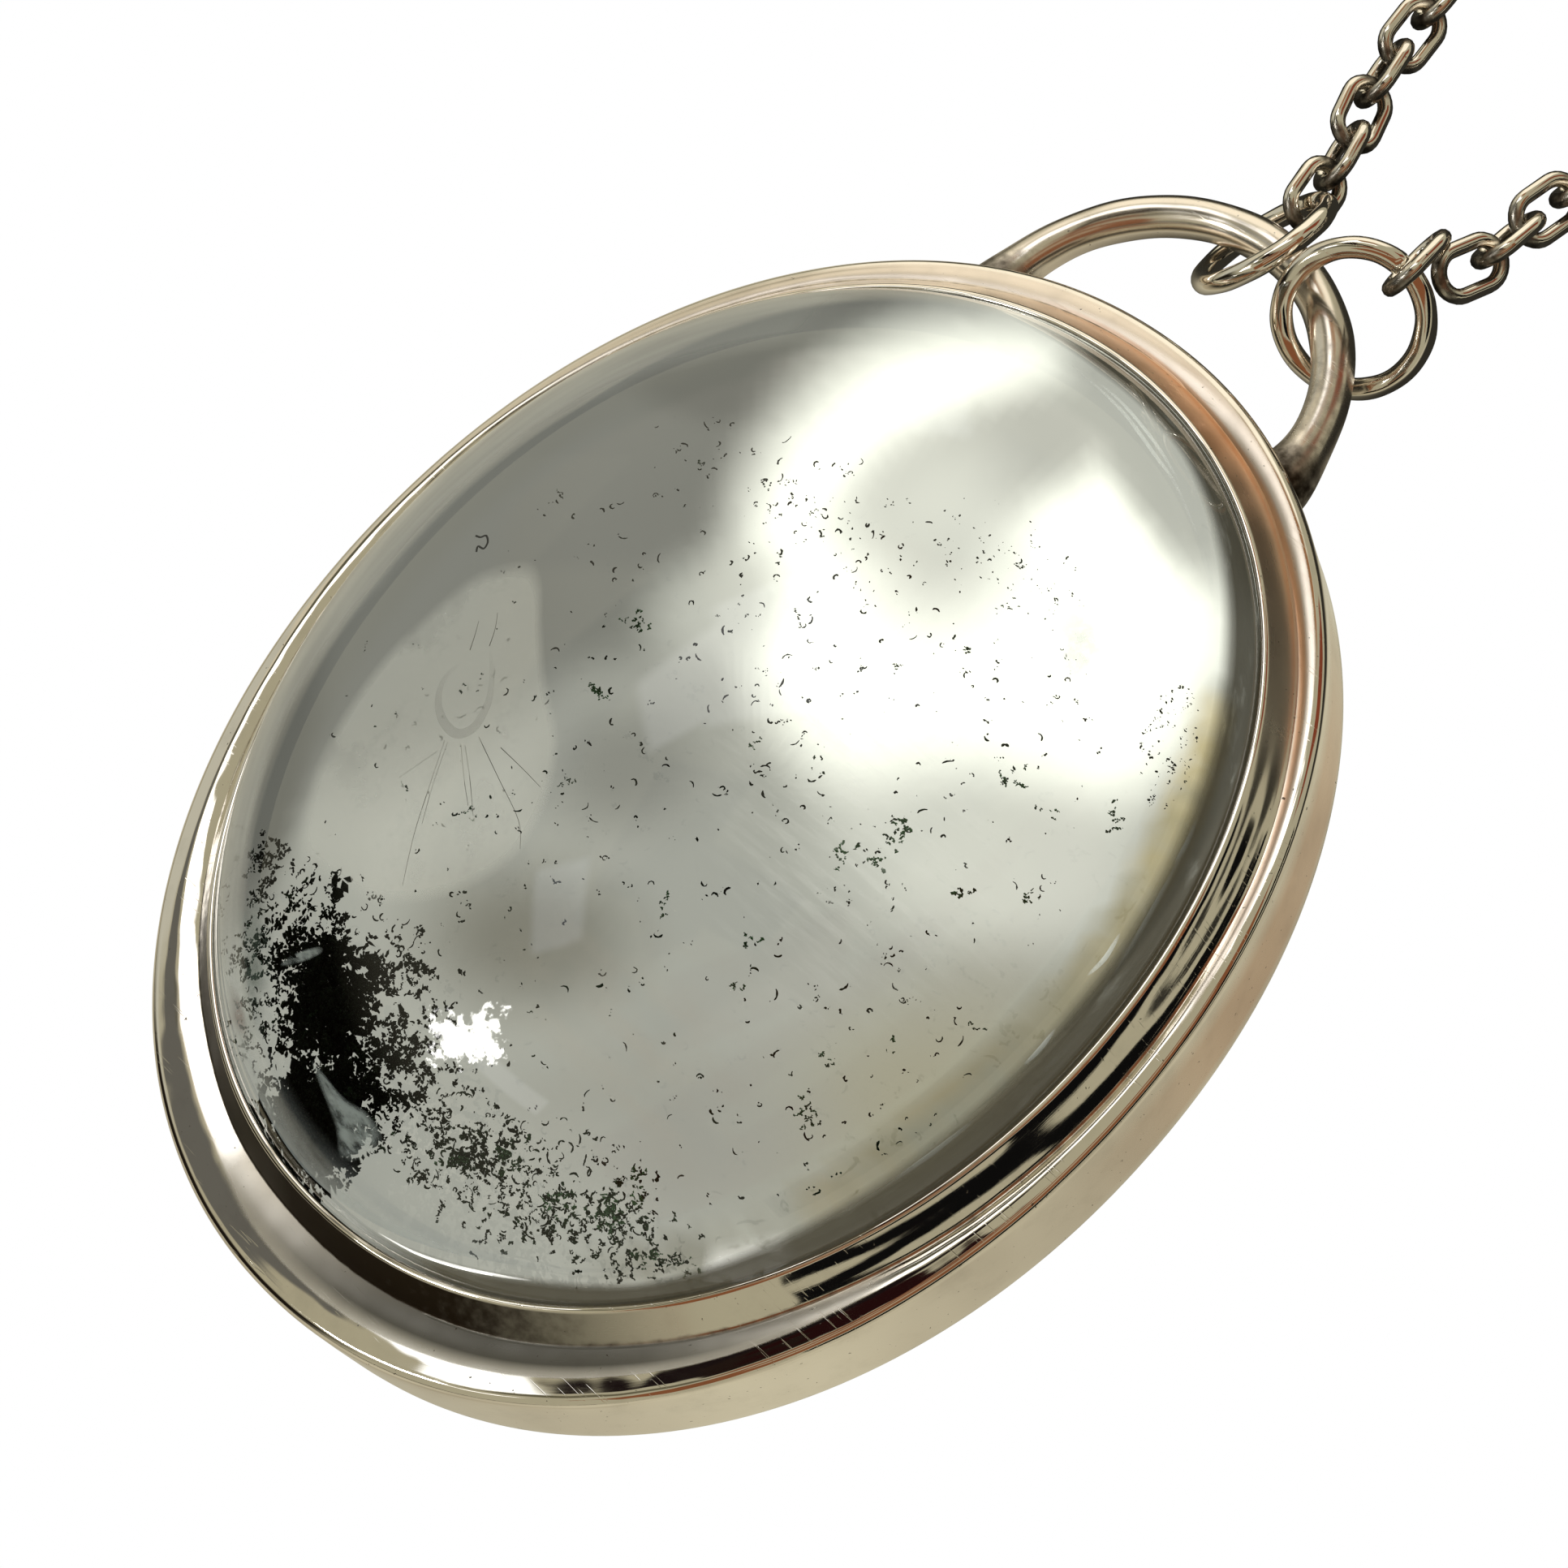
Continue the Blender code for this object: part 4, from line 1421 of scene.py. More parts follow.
    def spread(self, growth: Spot, uniform: bool) -> Pixel:
        """A random pixel of a growth's oval, even over it or thickest in the middle.

        Args:
            growth: The oval.
            uniform: Whether it is even.

        Returns:
            The pixel.
        """
        dice = self.dice
        if uniform:
            angle = dice.uniform(0, 2 * math.pi)
            reach = math.sqrt(dice.random())
            along, aside = reach * math.cos(angle), reach * math.sin(angle)
        else:
            along, aside = dice.gauss(0, 0.55), dice.gauss(0, 0.55)
        turn = math.radians(growth.turn)
        x, y = growth.reach_x * along, growth.reach_y * aside
        return (growth.x + x * math.cos(turn) - y * math.sin(turn),
                growth.y + x * math.sin(turn) + y * math.cos(turn))

    def crumb(self, work: Work, layer: object, spot: Vector, size: float, tone: float) -> None:
        """An angular grain with ten faces.

        Args:
            work: The mesh.
            layer: Its tone layer.
            spot: The middle, or where it starts.
            size: Its size in millimetres.
            tone: From 0 for black to 1 for leaf green.
        """
        dice = self.dice
        axis = Vector((dice.gauss(0, 1), dice.gauss(0, 1), dice.gauss(0, 1)))
        spin = Matrix.Rotation(dice.uniform(0, 2 * math.pi), 3, axis)
        half = Vector([size * dice.uniform(*span) for span in ((0.6, 1.4), (0.4, 1.1), (0.25, 0.7))]) / 2
        ring = []
        for i in range(5):
            turn = 2 * math.pi * (i + dice.uniform(-0.3, 0.3)) / 5
            reach = dice.uniform(0.6, 1.15)
            ring.append(Vector((reach * math.cos(turn), reach * math.sin(turn), dice.uniform(-0.3, 0.3))))
        ring += [Vector((0, 0, 1)), Vector((0, 0, -1))]
        points = [work.verts.new(spot + spin @ (half * point)) for point in ring]
        for point in points:
            point[layer] = tone
        for i in range(5):
            k = (i + 1) % 5
            work.faces.new((points[i], points[k], points[5]))
            work.faces.new((points[k], points[i], points[6]))

    def curl(self, work: Work, layer: object, spot: Vector, length: float, tone: float) -> None:
        """A short bent thread with four sides.

        Args:
            work: The mesh.
            layer: Its tone layer.
            spot: The middle, or where it starts.
            length: Its length in millimetres.
            tone: From 0 for black to 1 for leaf green.
        """
        dice = self.dice
        steps = dice.choice((4, 5, 6))
        way = Vector((dice.gauss(0, 1), dice.gauss(0, 1), dice.gauss(0, 0.4))).normalized()
        bend = Vector((dice.gauss(0, 0.3), dice.gauss(0, 0.3), dice.choice((-1, 1)))).normalized()
        tight = dice.uniform(0.3, 1.3)
        path = [spot.copy()]
        for _ in range(steps):
            path.append(path[-1] + length / steps * way)
            way = (way + tight * dice.uniform(0.2, 1.4) * way.cross(bend)).normalized()
        thick = dice.uniform(0.016, 0.030)
        radii = [thick * dice.uniform(0.6, 1.3) for _ in path]
        radii[0] = radii[-1] = 0.5 * thick
        before = len(work.verts)
        capped_tube(work, path, radii, 4)
        work.verts.ensure_lookup_table()
        for i in range(before, len(work.verts)):
            work.verts[i][layer] = tone

    def trail(self, work: Work, layer: object, thicket: Thicket) -> None:
        """A wandering growth of crumbs that cling together and branch.

        Args:
            work: The mesh.
            layer: Its tone layer.
            thicket: What it is part of.
        """
        dice = self.dice
        x, y = self.spread(thicket, False)
        height = dice.uniform(thicket.low, thicket.high)
        angle = dice.uniform(0, 2 * math.pi)
        tone = thicket.tone * dice.uniform(0.2, 1.7)
        visited = []
        for _ in range(max(2, round(thicket.steps * dice.uniform(0.4, 1.5)))):
            size = thicket.size * dice.uniform(0.4, 1.5)
            spot = self.stone.inside((x, y), height)
            if spot is not None:
                self.crumb(work, layer, spot, size, min(1.0, tone * dice.uniform(0.7, 1.3)))
            visited.append((x, y, height))
            if dice.random() < self.BRANCHING:
                x, y, height = dice.choice(visited)
                angle = dice.uniform(0, 2 * math.pi)
            angle += dice.gauss(0, 0.8)
            step = 0.55 * size * self.PX_PER_MM
            x += step * math.cos(angle)
            y += step * math.sin(angle)
            height += dice.gauss(0, 0.05)

    def grow(self, name: str, thickets: tuple[Thicket, ...], material: Material) -> Piece:
        """Makes one piece of several thickets.

        Args:
            name: The piece's name.
            thickets: The growths.
            material: The moss material, which reads the tone attribute.

        Returns:
            The piece.
        """
        work = bmesh.new()
        layer = work.verts.layers.float.new("tone")
        for thicket in thickets:
            for _ in range(thicket.trails):
                self.trail(work, layer, thicket)
        return settle(forge(name, work, self.stone.bench, material, 30.0), Slot.STONE)

    def scatter(self, name: str, drifts: tuple[Drift, ...], material: Material) -> Piece:
        """Makes one piece of the loose curls and specks.

        Args:
            name: The piece's name.
            drifts: The scatters.
            material: The moss material, which reads the tone attribute.

        Returns:
            The piece.
        """
        dice = self.dice
        work = bmesh.new()
        layer = work.verts.layers.float.new("tone")
        for drift in drifts:
            for kind, count in ((self.curl, drift.curls), (self.crumb, drift.specks)):
                for _ in range(count):
                    spot = self.stone.inside(self.spread(drift, True), dice.uniform(drift.low, drift.high))
                    if spot is not None:
                        size = drift.size if kind == self.curl else self.SPECK
                        tone = min(1.0, drift.tone * dice.uniform(0.2, 2.0))
                        kind(work, layer, spot, size * dice.uniform(0.4, 1.6), tone)
                        while dice.random() < self.CLINGING:
                            aside = Vector((dice.gauss(0, 1), dice.gauss(0, 1), 0.0)) * 0.05
                            self.crumb(work, layer, spot + aside, dice.uniform(0.03, 0.09), tone)
        path = [self.stone.inside(pixel, 3.6) for pixel in smooth_curve(self.LONG_CURL, 4)]
        capped_tube(work, path, [0.028] * len(path), 6)
        return settle(forge(name, work, self.stone.bench, material, 30.0), Slot.STONE)


@dataclass(frozen=True)
class Veil:
    """A pale sheet inside the stone: its outline in the photograph and its height above the back."""

    name: str
    outline: tuple[Pixel, ...]
    height: float
    edge: float
    rise: float = 0.0


@dataclass(frozen=True)
class RimBand:
    """A band of painted shade and reflection just under the stone's skin: its upper edge as (degrees round
    the oval, height) marks.
    """

    name: str
    marks: tuple[tuple[float, float], ...]
    low: float
    depth: float
    edge: float

    def height(self, degrees: float) -> float:
        """The upper edge's height at a turn.

        Args:
            degrees: Round the oval from +X.

        Returns:
            Millimetres above the back.
        """
        for (start, first), (end, second) in zip(self.marks, self.marks[1:]):
            if degrees <= end:
                return first + (second - first) * (degrees - start) / (end - start)
        return self.marks[-1][1]


class Ghosts:
    """The phantom veils, their hairlines, the pale glints and the rust spot."""

    BAND_STEPS = 120
    BAND_ROWS = 8
    BAND_FADE = 12
    SHEET_RINGS = 10
    # Painted shade: a dark olive band round the stone's right side, for the seat it mirrors above the lip.
    OLIVE = RimBand("rim_shade", (
        (276, 4.2), (288, 4.4), (300, 4.5), (312, 4.3), (333, 4.7), (344, 4.8), (362, 4.9), (385, 5.0),
        (405, 5.0), (420, 4.9), (430, 4.85), (445, 5.2), (460, 5.2)), 3.66, 0.07, 0.3)
    # Painted reflection: a pale sheen along the stone's upper left edge.
    GIRDLE = RimBand("girdle_band", (
        (112, 7.6), (137, 7.8), (164, 7.65), (192, 7.7), (203, 7.2), (212, 6.8), (224, 6.6), (240, 6.5)),
        3.66, 0.07, 0.06)
    DROP = Veil("phantom_drop", (
        (648, 690), (585, 706), (520, 760), (470, 810), (420, 880), (385, 950), (364, 1040), (385, 1075),
        (430, 1105), (480, 1117), (560, 1104), (625, 1068), (662, 1020), (684, 960), (690, 905), (676, 840),
        (670, 770), (668, 712)), 3.2, 0.10, 0.5)
    WEDGE = Veil("pale_wedge", ((383, 1306), (421, 1349), (453, 1371), (472, 1402), (458, 1424), (421, 1430),
                                (411, 1384)), 4.9, 0.35, 0.2)
    SHARD = Veil("pale_shard", ((345, 1190), (360, 1176), (392, 1166), (397, 1174), (372, 1186)), 4.8, 0.4)
    RUST = Veil("rust_spot", ((279, 1206), (292, 1218), (303, 1250), (306, 1284), (293, 1282), (280, 1250)),
                2.4, 0.6)
    LILY = Veil("lily_pad", ((1318, 742), (1345, 736), (1366, 752), (1376, 790), (1371, 830), (1352, 858),
                             (1322, 862), (1300, 838), (1296, 800), (1302, 764)), 3.0, 0.8)
    HAZE = Veil("green_haze", ((292, 1100), (318, 1092), (336, 1130), (340, 1190), (330, 1250), (312, 1300),
                               (296, 1280), (288, 1200)), 3.4, 0.9)
    SILK = Veil("silk_haze", ((900, 760), (1010, 720), (1120, 790), (1230, 900), (1320, 1010), (1330, 1130),
                              (1230, 1240), (1090, 1300), (960, 1290), (880, 1180), (850, 1020), (850, 880)),
                2.2, 0.7, 0.6)
    MIST = Veil("warm_mist", ((640, 1110), (760, 1080), (880, 1130), (960, 1240), (1000, 1380), (930, 1480),
                              (800, 1500), (680, 1430), (600, 1330), (590, 1200)), 2.6, 0.8, 0.6)
    HAIRS = (
        ((548, 912), (528, 972), (510, 1029), (496, 1091)), ((552, 914), (534, 965), (520, 1015)),
        ((568, 917), (572, 960), (577, 993)), ((573, 918), (579, 960), (583, 1005)),
        ((590, 908), (615, 960), (639, 1011), (641, 1046)), ((617, 921), (645, 948), (666, 970)),
        ((579, 801), (585, 783), (590, 765)), ((603, 796), (610, 775), (613, 755)),
        ((540, 925), (515, 942), (492, 958)),
    )
    RING = (((604, 800), (606, 830), (604, 856), (597, 876), (583, 897), (563, 904), (547, 890), (540, 868),
             (543, 846), (553, 829), (566, 818)),)
    HEM = (((270, 1120), (276, 1200), (290, 1275), (325, 1365), (380, 1446), (462, 1508), (560, 1545),
            (660, 1562)),
           ((306, 1110), (312, 1200), (328, 1275), (364, 1345), (414, 1408), (488, 1464), (572, 1506),
            (670, 1528)))
    # Painted highlight: a glowing white patch just inside the stone's lower rim.
    PATCH = (((862, 1578), (905, 1580), (948, 1568), (985, 1548)),
             ((866, 1530), (902, 1522), (938, 1516), (970, 1510)))
    WISPS = (
        ((1458, 1050), (1430, 1102), (1398, 1160), (1372, 1204), (1350, 1240)),
        ((1345, 1250), (1322, 1284), (1296, 1310), (1278, 1330)), ((1300, 1268), (1282, 1292), (1262, 1312)),
        ((1475, 1010), (1462, 1040), (1448, 1062)), ((1380, 1150), (1362, 1180), (1340, 1202)),
        ((1320, 450), (1359, 483), (1390, 515), (1422, 559), (1449, 598), (1479, 668)),
        ((1352, 470), (1386, 500), (1425, 548), (1452, 592)), ((1200, 1380), (1150, 1420), (1090, 1462)),
    )
    # Painted highlight: a glowing white line along the stone's lower left edge.
    SPARKS = (((466, 1519), (510, 1543), (560, 1560), (610, 1571), (655, 1578)),)
    # Where the healed cracks lie: middle, reach, number and size in millimetres
    CRACKS = ((735, 720, 26, 22, 26, 0.16), (860, 655, 24, 16, 10, 0.12), (700, 1290, 190, 150, 90, 0.11),
              (900, 1190, 130, 120, 50, 0.10), (1170, 1300, 60, 60, 22, 0.12), (1160, 690, 60, 40, 16, 0.08),
              (450, 1000, 60, 90, 20, 0.08), (640, 1220, 90, 60, 40, 0.12), (880, 1440, 110, 60, 30, 0.10))

    def __init__(self, stone: QuartzCabochon, seed: int = 17) -> None:
        """Works inside a given stone."""
        self.stone = stone
        self.dice = random.Random(seed)

    def hang(self, name: str, rows: list[list[tuple[Vector, float]]], closed: bool,
             material: Material) -> Piece:
        """Makes a sheet that is as dense as its points say.

        Args:
            name: The piece's name.
            rows: Rows of points, each with its share of the veil's density.
            closed: Whether each row runs round to its start.
            material: A veil material, which reads the veil attribute.

        Returns:
            The piece.
        """
        work = bmesh.new()
        fade = work.verts.layers.float.new("veil")
        grid = []
        for row in rows:
            grid.append([work.verts.new(point) for point, _ in row])
            for vertex, (_, density) in zip(grid[-1], row):
                vertex[fade] = density
        lattice(work, grid, closed)
        return settle(forge(name, work, self.stone.bench, material, heal=False), Slot.STONE)

    def sheet(self, veil: Veil, material: Material) -> Piece:
        """Makes one veil, fading to its edge.

        Args:
            veil: The outline and height.
            material: A veil material.

        Returns:
            The piece.
        """
        outline = smooth_curve(veil.outline, 6, closed=True)
        x_middle, y_middle = (sum(values) / len(outline) for values in zip(*outline))
        rows = []
        for i in range(self.SHEET_RINGS + 1):
            share = (i + 0.15) / (self.SHEET_RINGS + 0.15)
            height = veil.height + veil.rise * (1 - share * share)
            density = min(1.0, (1 - share) / veil.edge)
            pixels = [(x_middle + share * (x - x_middle), y_middle + share * (y - y_middle))
                      for x, y in outline]
            rows.append([(self.stone.inside(pixel, height), density) for pixel in pixels])
        return self.hang(veil.name, rows, True, material)

    def rim_band(self, band: RimBand, material: Material) -> Piece:
        """Makes the band that stands in for what the stone's side mirrors just above the lip: painted shade
        and reflection.

        Args:
            band: Where it runs and how high.
            material: A veil material.

        Returns:
            The piece.
        """
        first, last = band.marks[0][0], band.marks[-1][0]
        rows = []
        for i in range(self.BAND_STEPS + 1):
            degrees = first + (last - first) * i / self.BAND_STEPS
            ends = min(1.0, (degrees - first) / self.BAND_FADE, (last - degrees) / self.BAND_FADE)
            row = []
            for j in range(self.BAND_ROWS + 1):
                share = j / self.BAND_ROWS
                height = band.low + share * (band.height(degrees) - band.low)
                row.append((self.stone.shape.seat(math.radians(degrees), height, -band.depth),
                            ends * min(1.0, (1 - share) / band.edge)))
            rows.append(row)
        return self.hang(band.name, rows, False, material)

    def hairlines(self, material: Material) -> Piece:
        """The fine grey lines that run out from a small ring in the drop-shaped veil.

        Args:
            material: A moss material, which reads the tone attribute.

        Returns:
            The piece.
        """
        work = bmesh.new()
        tone_layer = work.verts.layers.float.new("tone")
        height = self.DROP.height + 0.45
        for line in self.HAIRS:
            path = [self.stone.inside(pixel, height) for pixel in smooth_curve(line, 5)]
            count = len(path)
            radii = [0.012 * (1 - 0.6 * i / count) for i in range(count)]
            capped_tube(work, path, radii, 3)
        for vertex in work.verts:
            vertex[tone_layer] = 0.0
        return settle(forge("hairlines", work, self.stone.bench, material), Slot.STONE)

    def ribbon(self, name: str, edges: tuple, depth: float, material: Material) -> Piece:
        """Makes a haze between two lines, densest along the first and gone at the second.

        Args:
            name: The piece's name.
            edges: The two lines' points in the photograph, as many in each.
            depth: Millimetres behind the stone's face.
            material: A veil material, which reads the veil attribute.

        Returns:
            The piece.
        """
        near, far = (smooth_curve(edge, 8) for edge in edges)
        rows = []
        for i, (outer, inner) in enumerate(zip(near, far)):
            ends = min(1.0, 5 * i / len(near), 5 * (len(near) - 1 - i) / len(near))
            row = []
            for j in range(self.BAND_ROWS + 1):
                share = j / self.BAND_ROWS
                pixel = (outer[0] + share * (inner[0] - outer[0]), outer[1] + share * (inner[1] - outer[1]))
                spot, way = self.stone.enter(pixel)
                row.append((spot + depth * way, ends * (1 - share) ** 1.6))
            rows.append(row)
        return self.hang(name, rows, False, material)

    def strokes(self, name: str, lines: tuple, depth: float, radius: float,
                material: Material) -> Piece:
        """Makes one piece of pale strokes, each thickest and densest in its middle.

        Args:
            name: The piece's name.
            lines: The strokes' points in the photograph.
            depth: Millimetres behind the stone's face.
            radius: Half their thickness in millimetres.
            material: A veil material, which reads the veil attribute.

        Returns:
            The piece.
        """
        work = bmesh.new()
        fade = work.verts.layers.float.new("veil")
        for line in lines:
            entries = [self.stone.enter(pixel) for pixel in smooth_curve(line, 6)]
            path = [entry[0] + depth * entry[1] for entry in entries if entry is not None]
            if len(path) < 3:
                continue
            swell = [math.sin(math.pi * (i + 0.3) / (len(path) - 0.4)) for i in range(len(path))]
            radii = [radius * (0.25 + 0.75 * size) for size in swell]
            for row, size in zip(skin(work, tube_loops(path, radii, 6, False), False), swell):
                for vertex in row:
                    vertex[fade] = size
        return settle(forge(name, work, self.stone.bench, material, heal=False), Slot.STONE)

    def glints(self, material: Material) -> Piece:
        """Tiny slivers of healed cracks, glowing white as painted glints.

        Args:
            material: A veil material, which reads the veil attribute.

        Returns:
            The piece.
        """
        dice = self.dice
        work = bmesh.new()
        for x, y, reach_x, reach_y, count, size in self.CRACKS:
            for _ in range(count):
                pixel = (dice.gauss(x, 0.6 * reach_x), dice.gauss(y, 0.6 * reach_y))
                spot = self.stone.inside(pixel, dice.uniform(3.0, 5.0))
                if spot is None:
                    continue
                way = Vector((dice.gauss(0, 1), dice.gauss(0, 1), dice.gauss(0, 0.3))).normalized()
                run = size * dice.uniform(0.3, 1.2) * way
                capped_tube(work, [spot, spot + 0.5 * run, spot + run], [0.004, 0.011, 0.003], 3)
        return settle(forge("glints", work, self.stone.bench, material), Slot.STONE)


def smooth_curve(points: tuple[Pixel, ...], steps: int, closed: bool = False) -> list[Pixel]:
    """A smooth curve through points of the photograph.

    Args:
        points: The points.
        steps: Points of the curve for each stretch between two of them.
        closed: Whether the curve runs back to its start.

    Returns:
        The curve's points, with the last given one only where it is open.
    """
    padded = (points[-1], *points, *points[:2]) if closed else (points[0], *points, points[-1])
    curve = []
    for i in range(1, len(padded) - 2):
        a, b, c, d = (Vector(padded[i + j]) for j in (-1, 0, 1, 2))
        for step in range(steps):
            t = step / steps
            spot = 0.5 * (2 * b + (c - a) * t + (2 * a - 5 * b + 4 * c - d) * t * t
                          + (3 * b - a - 3 * c + d) * t ** 3)
            curve.append((spot.x, spot.y))
    return curve if closed else [*curve, points[-1]]


# The rings, the chain and the clasp


@dataclass(frozen=True)
class RingPlace:
    """Where a jump ring hangs on the bail, as the solids have it."""

    side: Side
    degrees: float
    outward: float
    upward: float
    axis: Triple
    cut: float


@dataclass
class JumpRing:
    """A round-wire ring through the bail, with its sawn cut."""

    setting: BezelSetting
    place: RingPlace
    wire: float = 0.62
    play: float = 2.16
    cut_gap: float = 0.05
    cut_taper: float = 0.86
    steps: int = 96
    sides: int = 20

    WOBBLE = ((0.010, 2, 0.5), (0.006, 3, 1.5))
    WEAR = ((0.02, 5, 1.0), (0.015, 11, 0.2))

    @property
    def radius(self) -> float:
        """Middle of the wire."""
        return (self.setting.bail_wire + self.play + self.wire) / 2

    @property
    def axis(self) -> Vector:
        """The direction square to the ring."""
        return Vector(self.place.axis).normalized()

    @property
    def middle(self) -> Vector:
        """The ring's centre.

        Returns:
            The point in millimetres.
        """
        turn = math.radians(self.place.degrees)
        radius = self.setting.bail_radius + self.place.outward * self.play
        spot = self.setting.bail_centre + radius * Vector((math.cos(turn), math.sin(turn), 0.0))
        spot.z += self.place.upward * self.play
        return spot

    def make(self, material: Material) -> Piece:
        """Builds the ring.

        Args:
            material: The wire's silver.

        Returns:
            The piece that stands for the solid ring.
        """
        axis = self.axis
        first = (Vector((0, 1, 0)) - axis.y * axis).normalized()
        second = axis.cross(first)
        work = bmesh.new()
        crevice = work.verts.layers.float.new("crevice")
        cut = math.radians(self.place.cut)
        sweep = 2 * math.pi - self.cut_gap / self.radius
        path, radii = [], []
        for i in range(self.steps + 1):
            turn = cut + (2 * math.pi - sweep) / 2 + sweep * i / self.steps
            wobble = 1 + sway(turn, self.WOBBLE)
            way = math.cos(turn) * first + math.sin(turn) * second
            path.append(self.middle + self.radius * wobble * way)
            wear_and_reflection = 1.0 + sway(turn, self.WEAR)
            radii.append(self.wire / 2 * (self.cut_taper if i in (0, self.steps) else wear_and_reflection))
        capped_tube(work, path, radii, self.sides)
        for vertex in work.verts:
            vertex[crevice] = 0.1
        word = self.place.side.word
        piece = forge("round_ring_" + word, work, self.setting.bench, material, 50.0)
        return settle(piece, Slot.CHAIN, "jump_ring_" + word)


@dataclass(frozen=True)
class LinkPose:
    """One link's middle and its two directions, along the chain and square to its flat."""

    spot: Vector
    along: Vector
    axis: Vector


class Route:
    """A strand's way from its jump ring to the clasp, read by distance."""

    STEPS = 24

    def __init__(self, points: list[Vector]) -> None:
        """Runs a smooth centripetal curve through the points.

        Args:
            points: Where the way runs, in millimetres.
        """
        padded = [2 * points[0] - points[1], *points, 2 * points[-1] - points[-2]]
        self.run = []
        for i in range(1, len(padded) - 2):
            before, start, end, after = padded[i - 1:i + 3]
            first, span, last = (max((b - a).length, 1e-6) ** 0.5
                                 for a, b in ((before, start), (start, end), (end, after)))
            leave = (start - before) / first - (end - before) / (first + span) + (end - start) / span
            arrive = (end - start) / span - (after - start) / (span + last) + (after - end) / last
            leave *= span
            arrive *= span
            for step in range(self.STEPS):
                t = step / self.STEPS
                self.run.append(start + t * leave + t * t * (3 * (end - start) - 2 * leave - arrive)
                                + t ** 3 * (2 * (start - end) + leave + arrive))
        self.run.append(padded[-2])
        self.marks = [0.0]
        for before, after in zip(self.run, self.run[1:]):
            self.marks.append(self.marks[-1] + (after - before).length)

    @property
    def length(self) -> float:
        """The whole way, in millimetres."""
        return self.marks[-1]

    def at(self, distance: float) -> Vector:
        """The point at a distance from the start.

        Args:
            distance: Millimetres along the way.

        Returns:
            The point in millimetres.
        """
        distance = min(max(distance, 0.0), self.length)
        i = 1
        while i < len(self.marks) - 1 and self.marks[i] < distance:
            i += 1
        span = self.marks[i] - self.marks[i - 1]
        return self.run[i - 1].lerp(self.run[i], (distance - self.marks[i - 1]) / span)

    def heading(self, distance: float, step: float) -> Vector:
        """The direction of the way at a distance, read over two steps."""
        return (self.at(distance + step) - self.at(distance - step)).normalized()


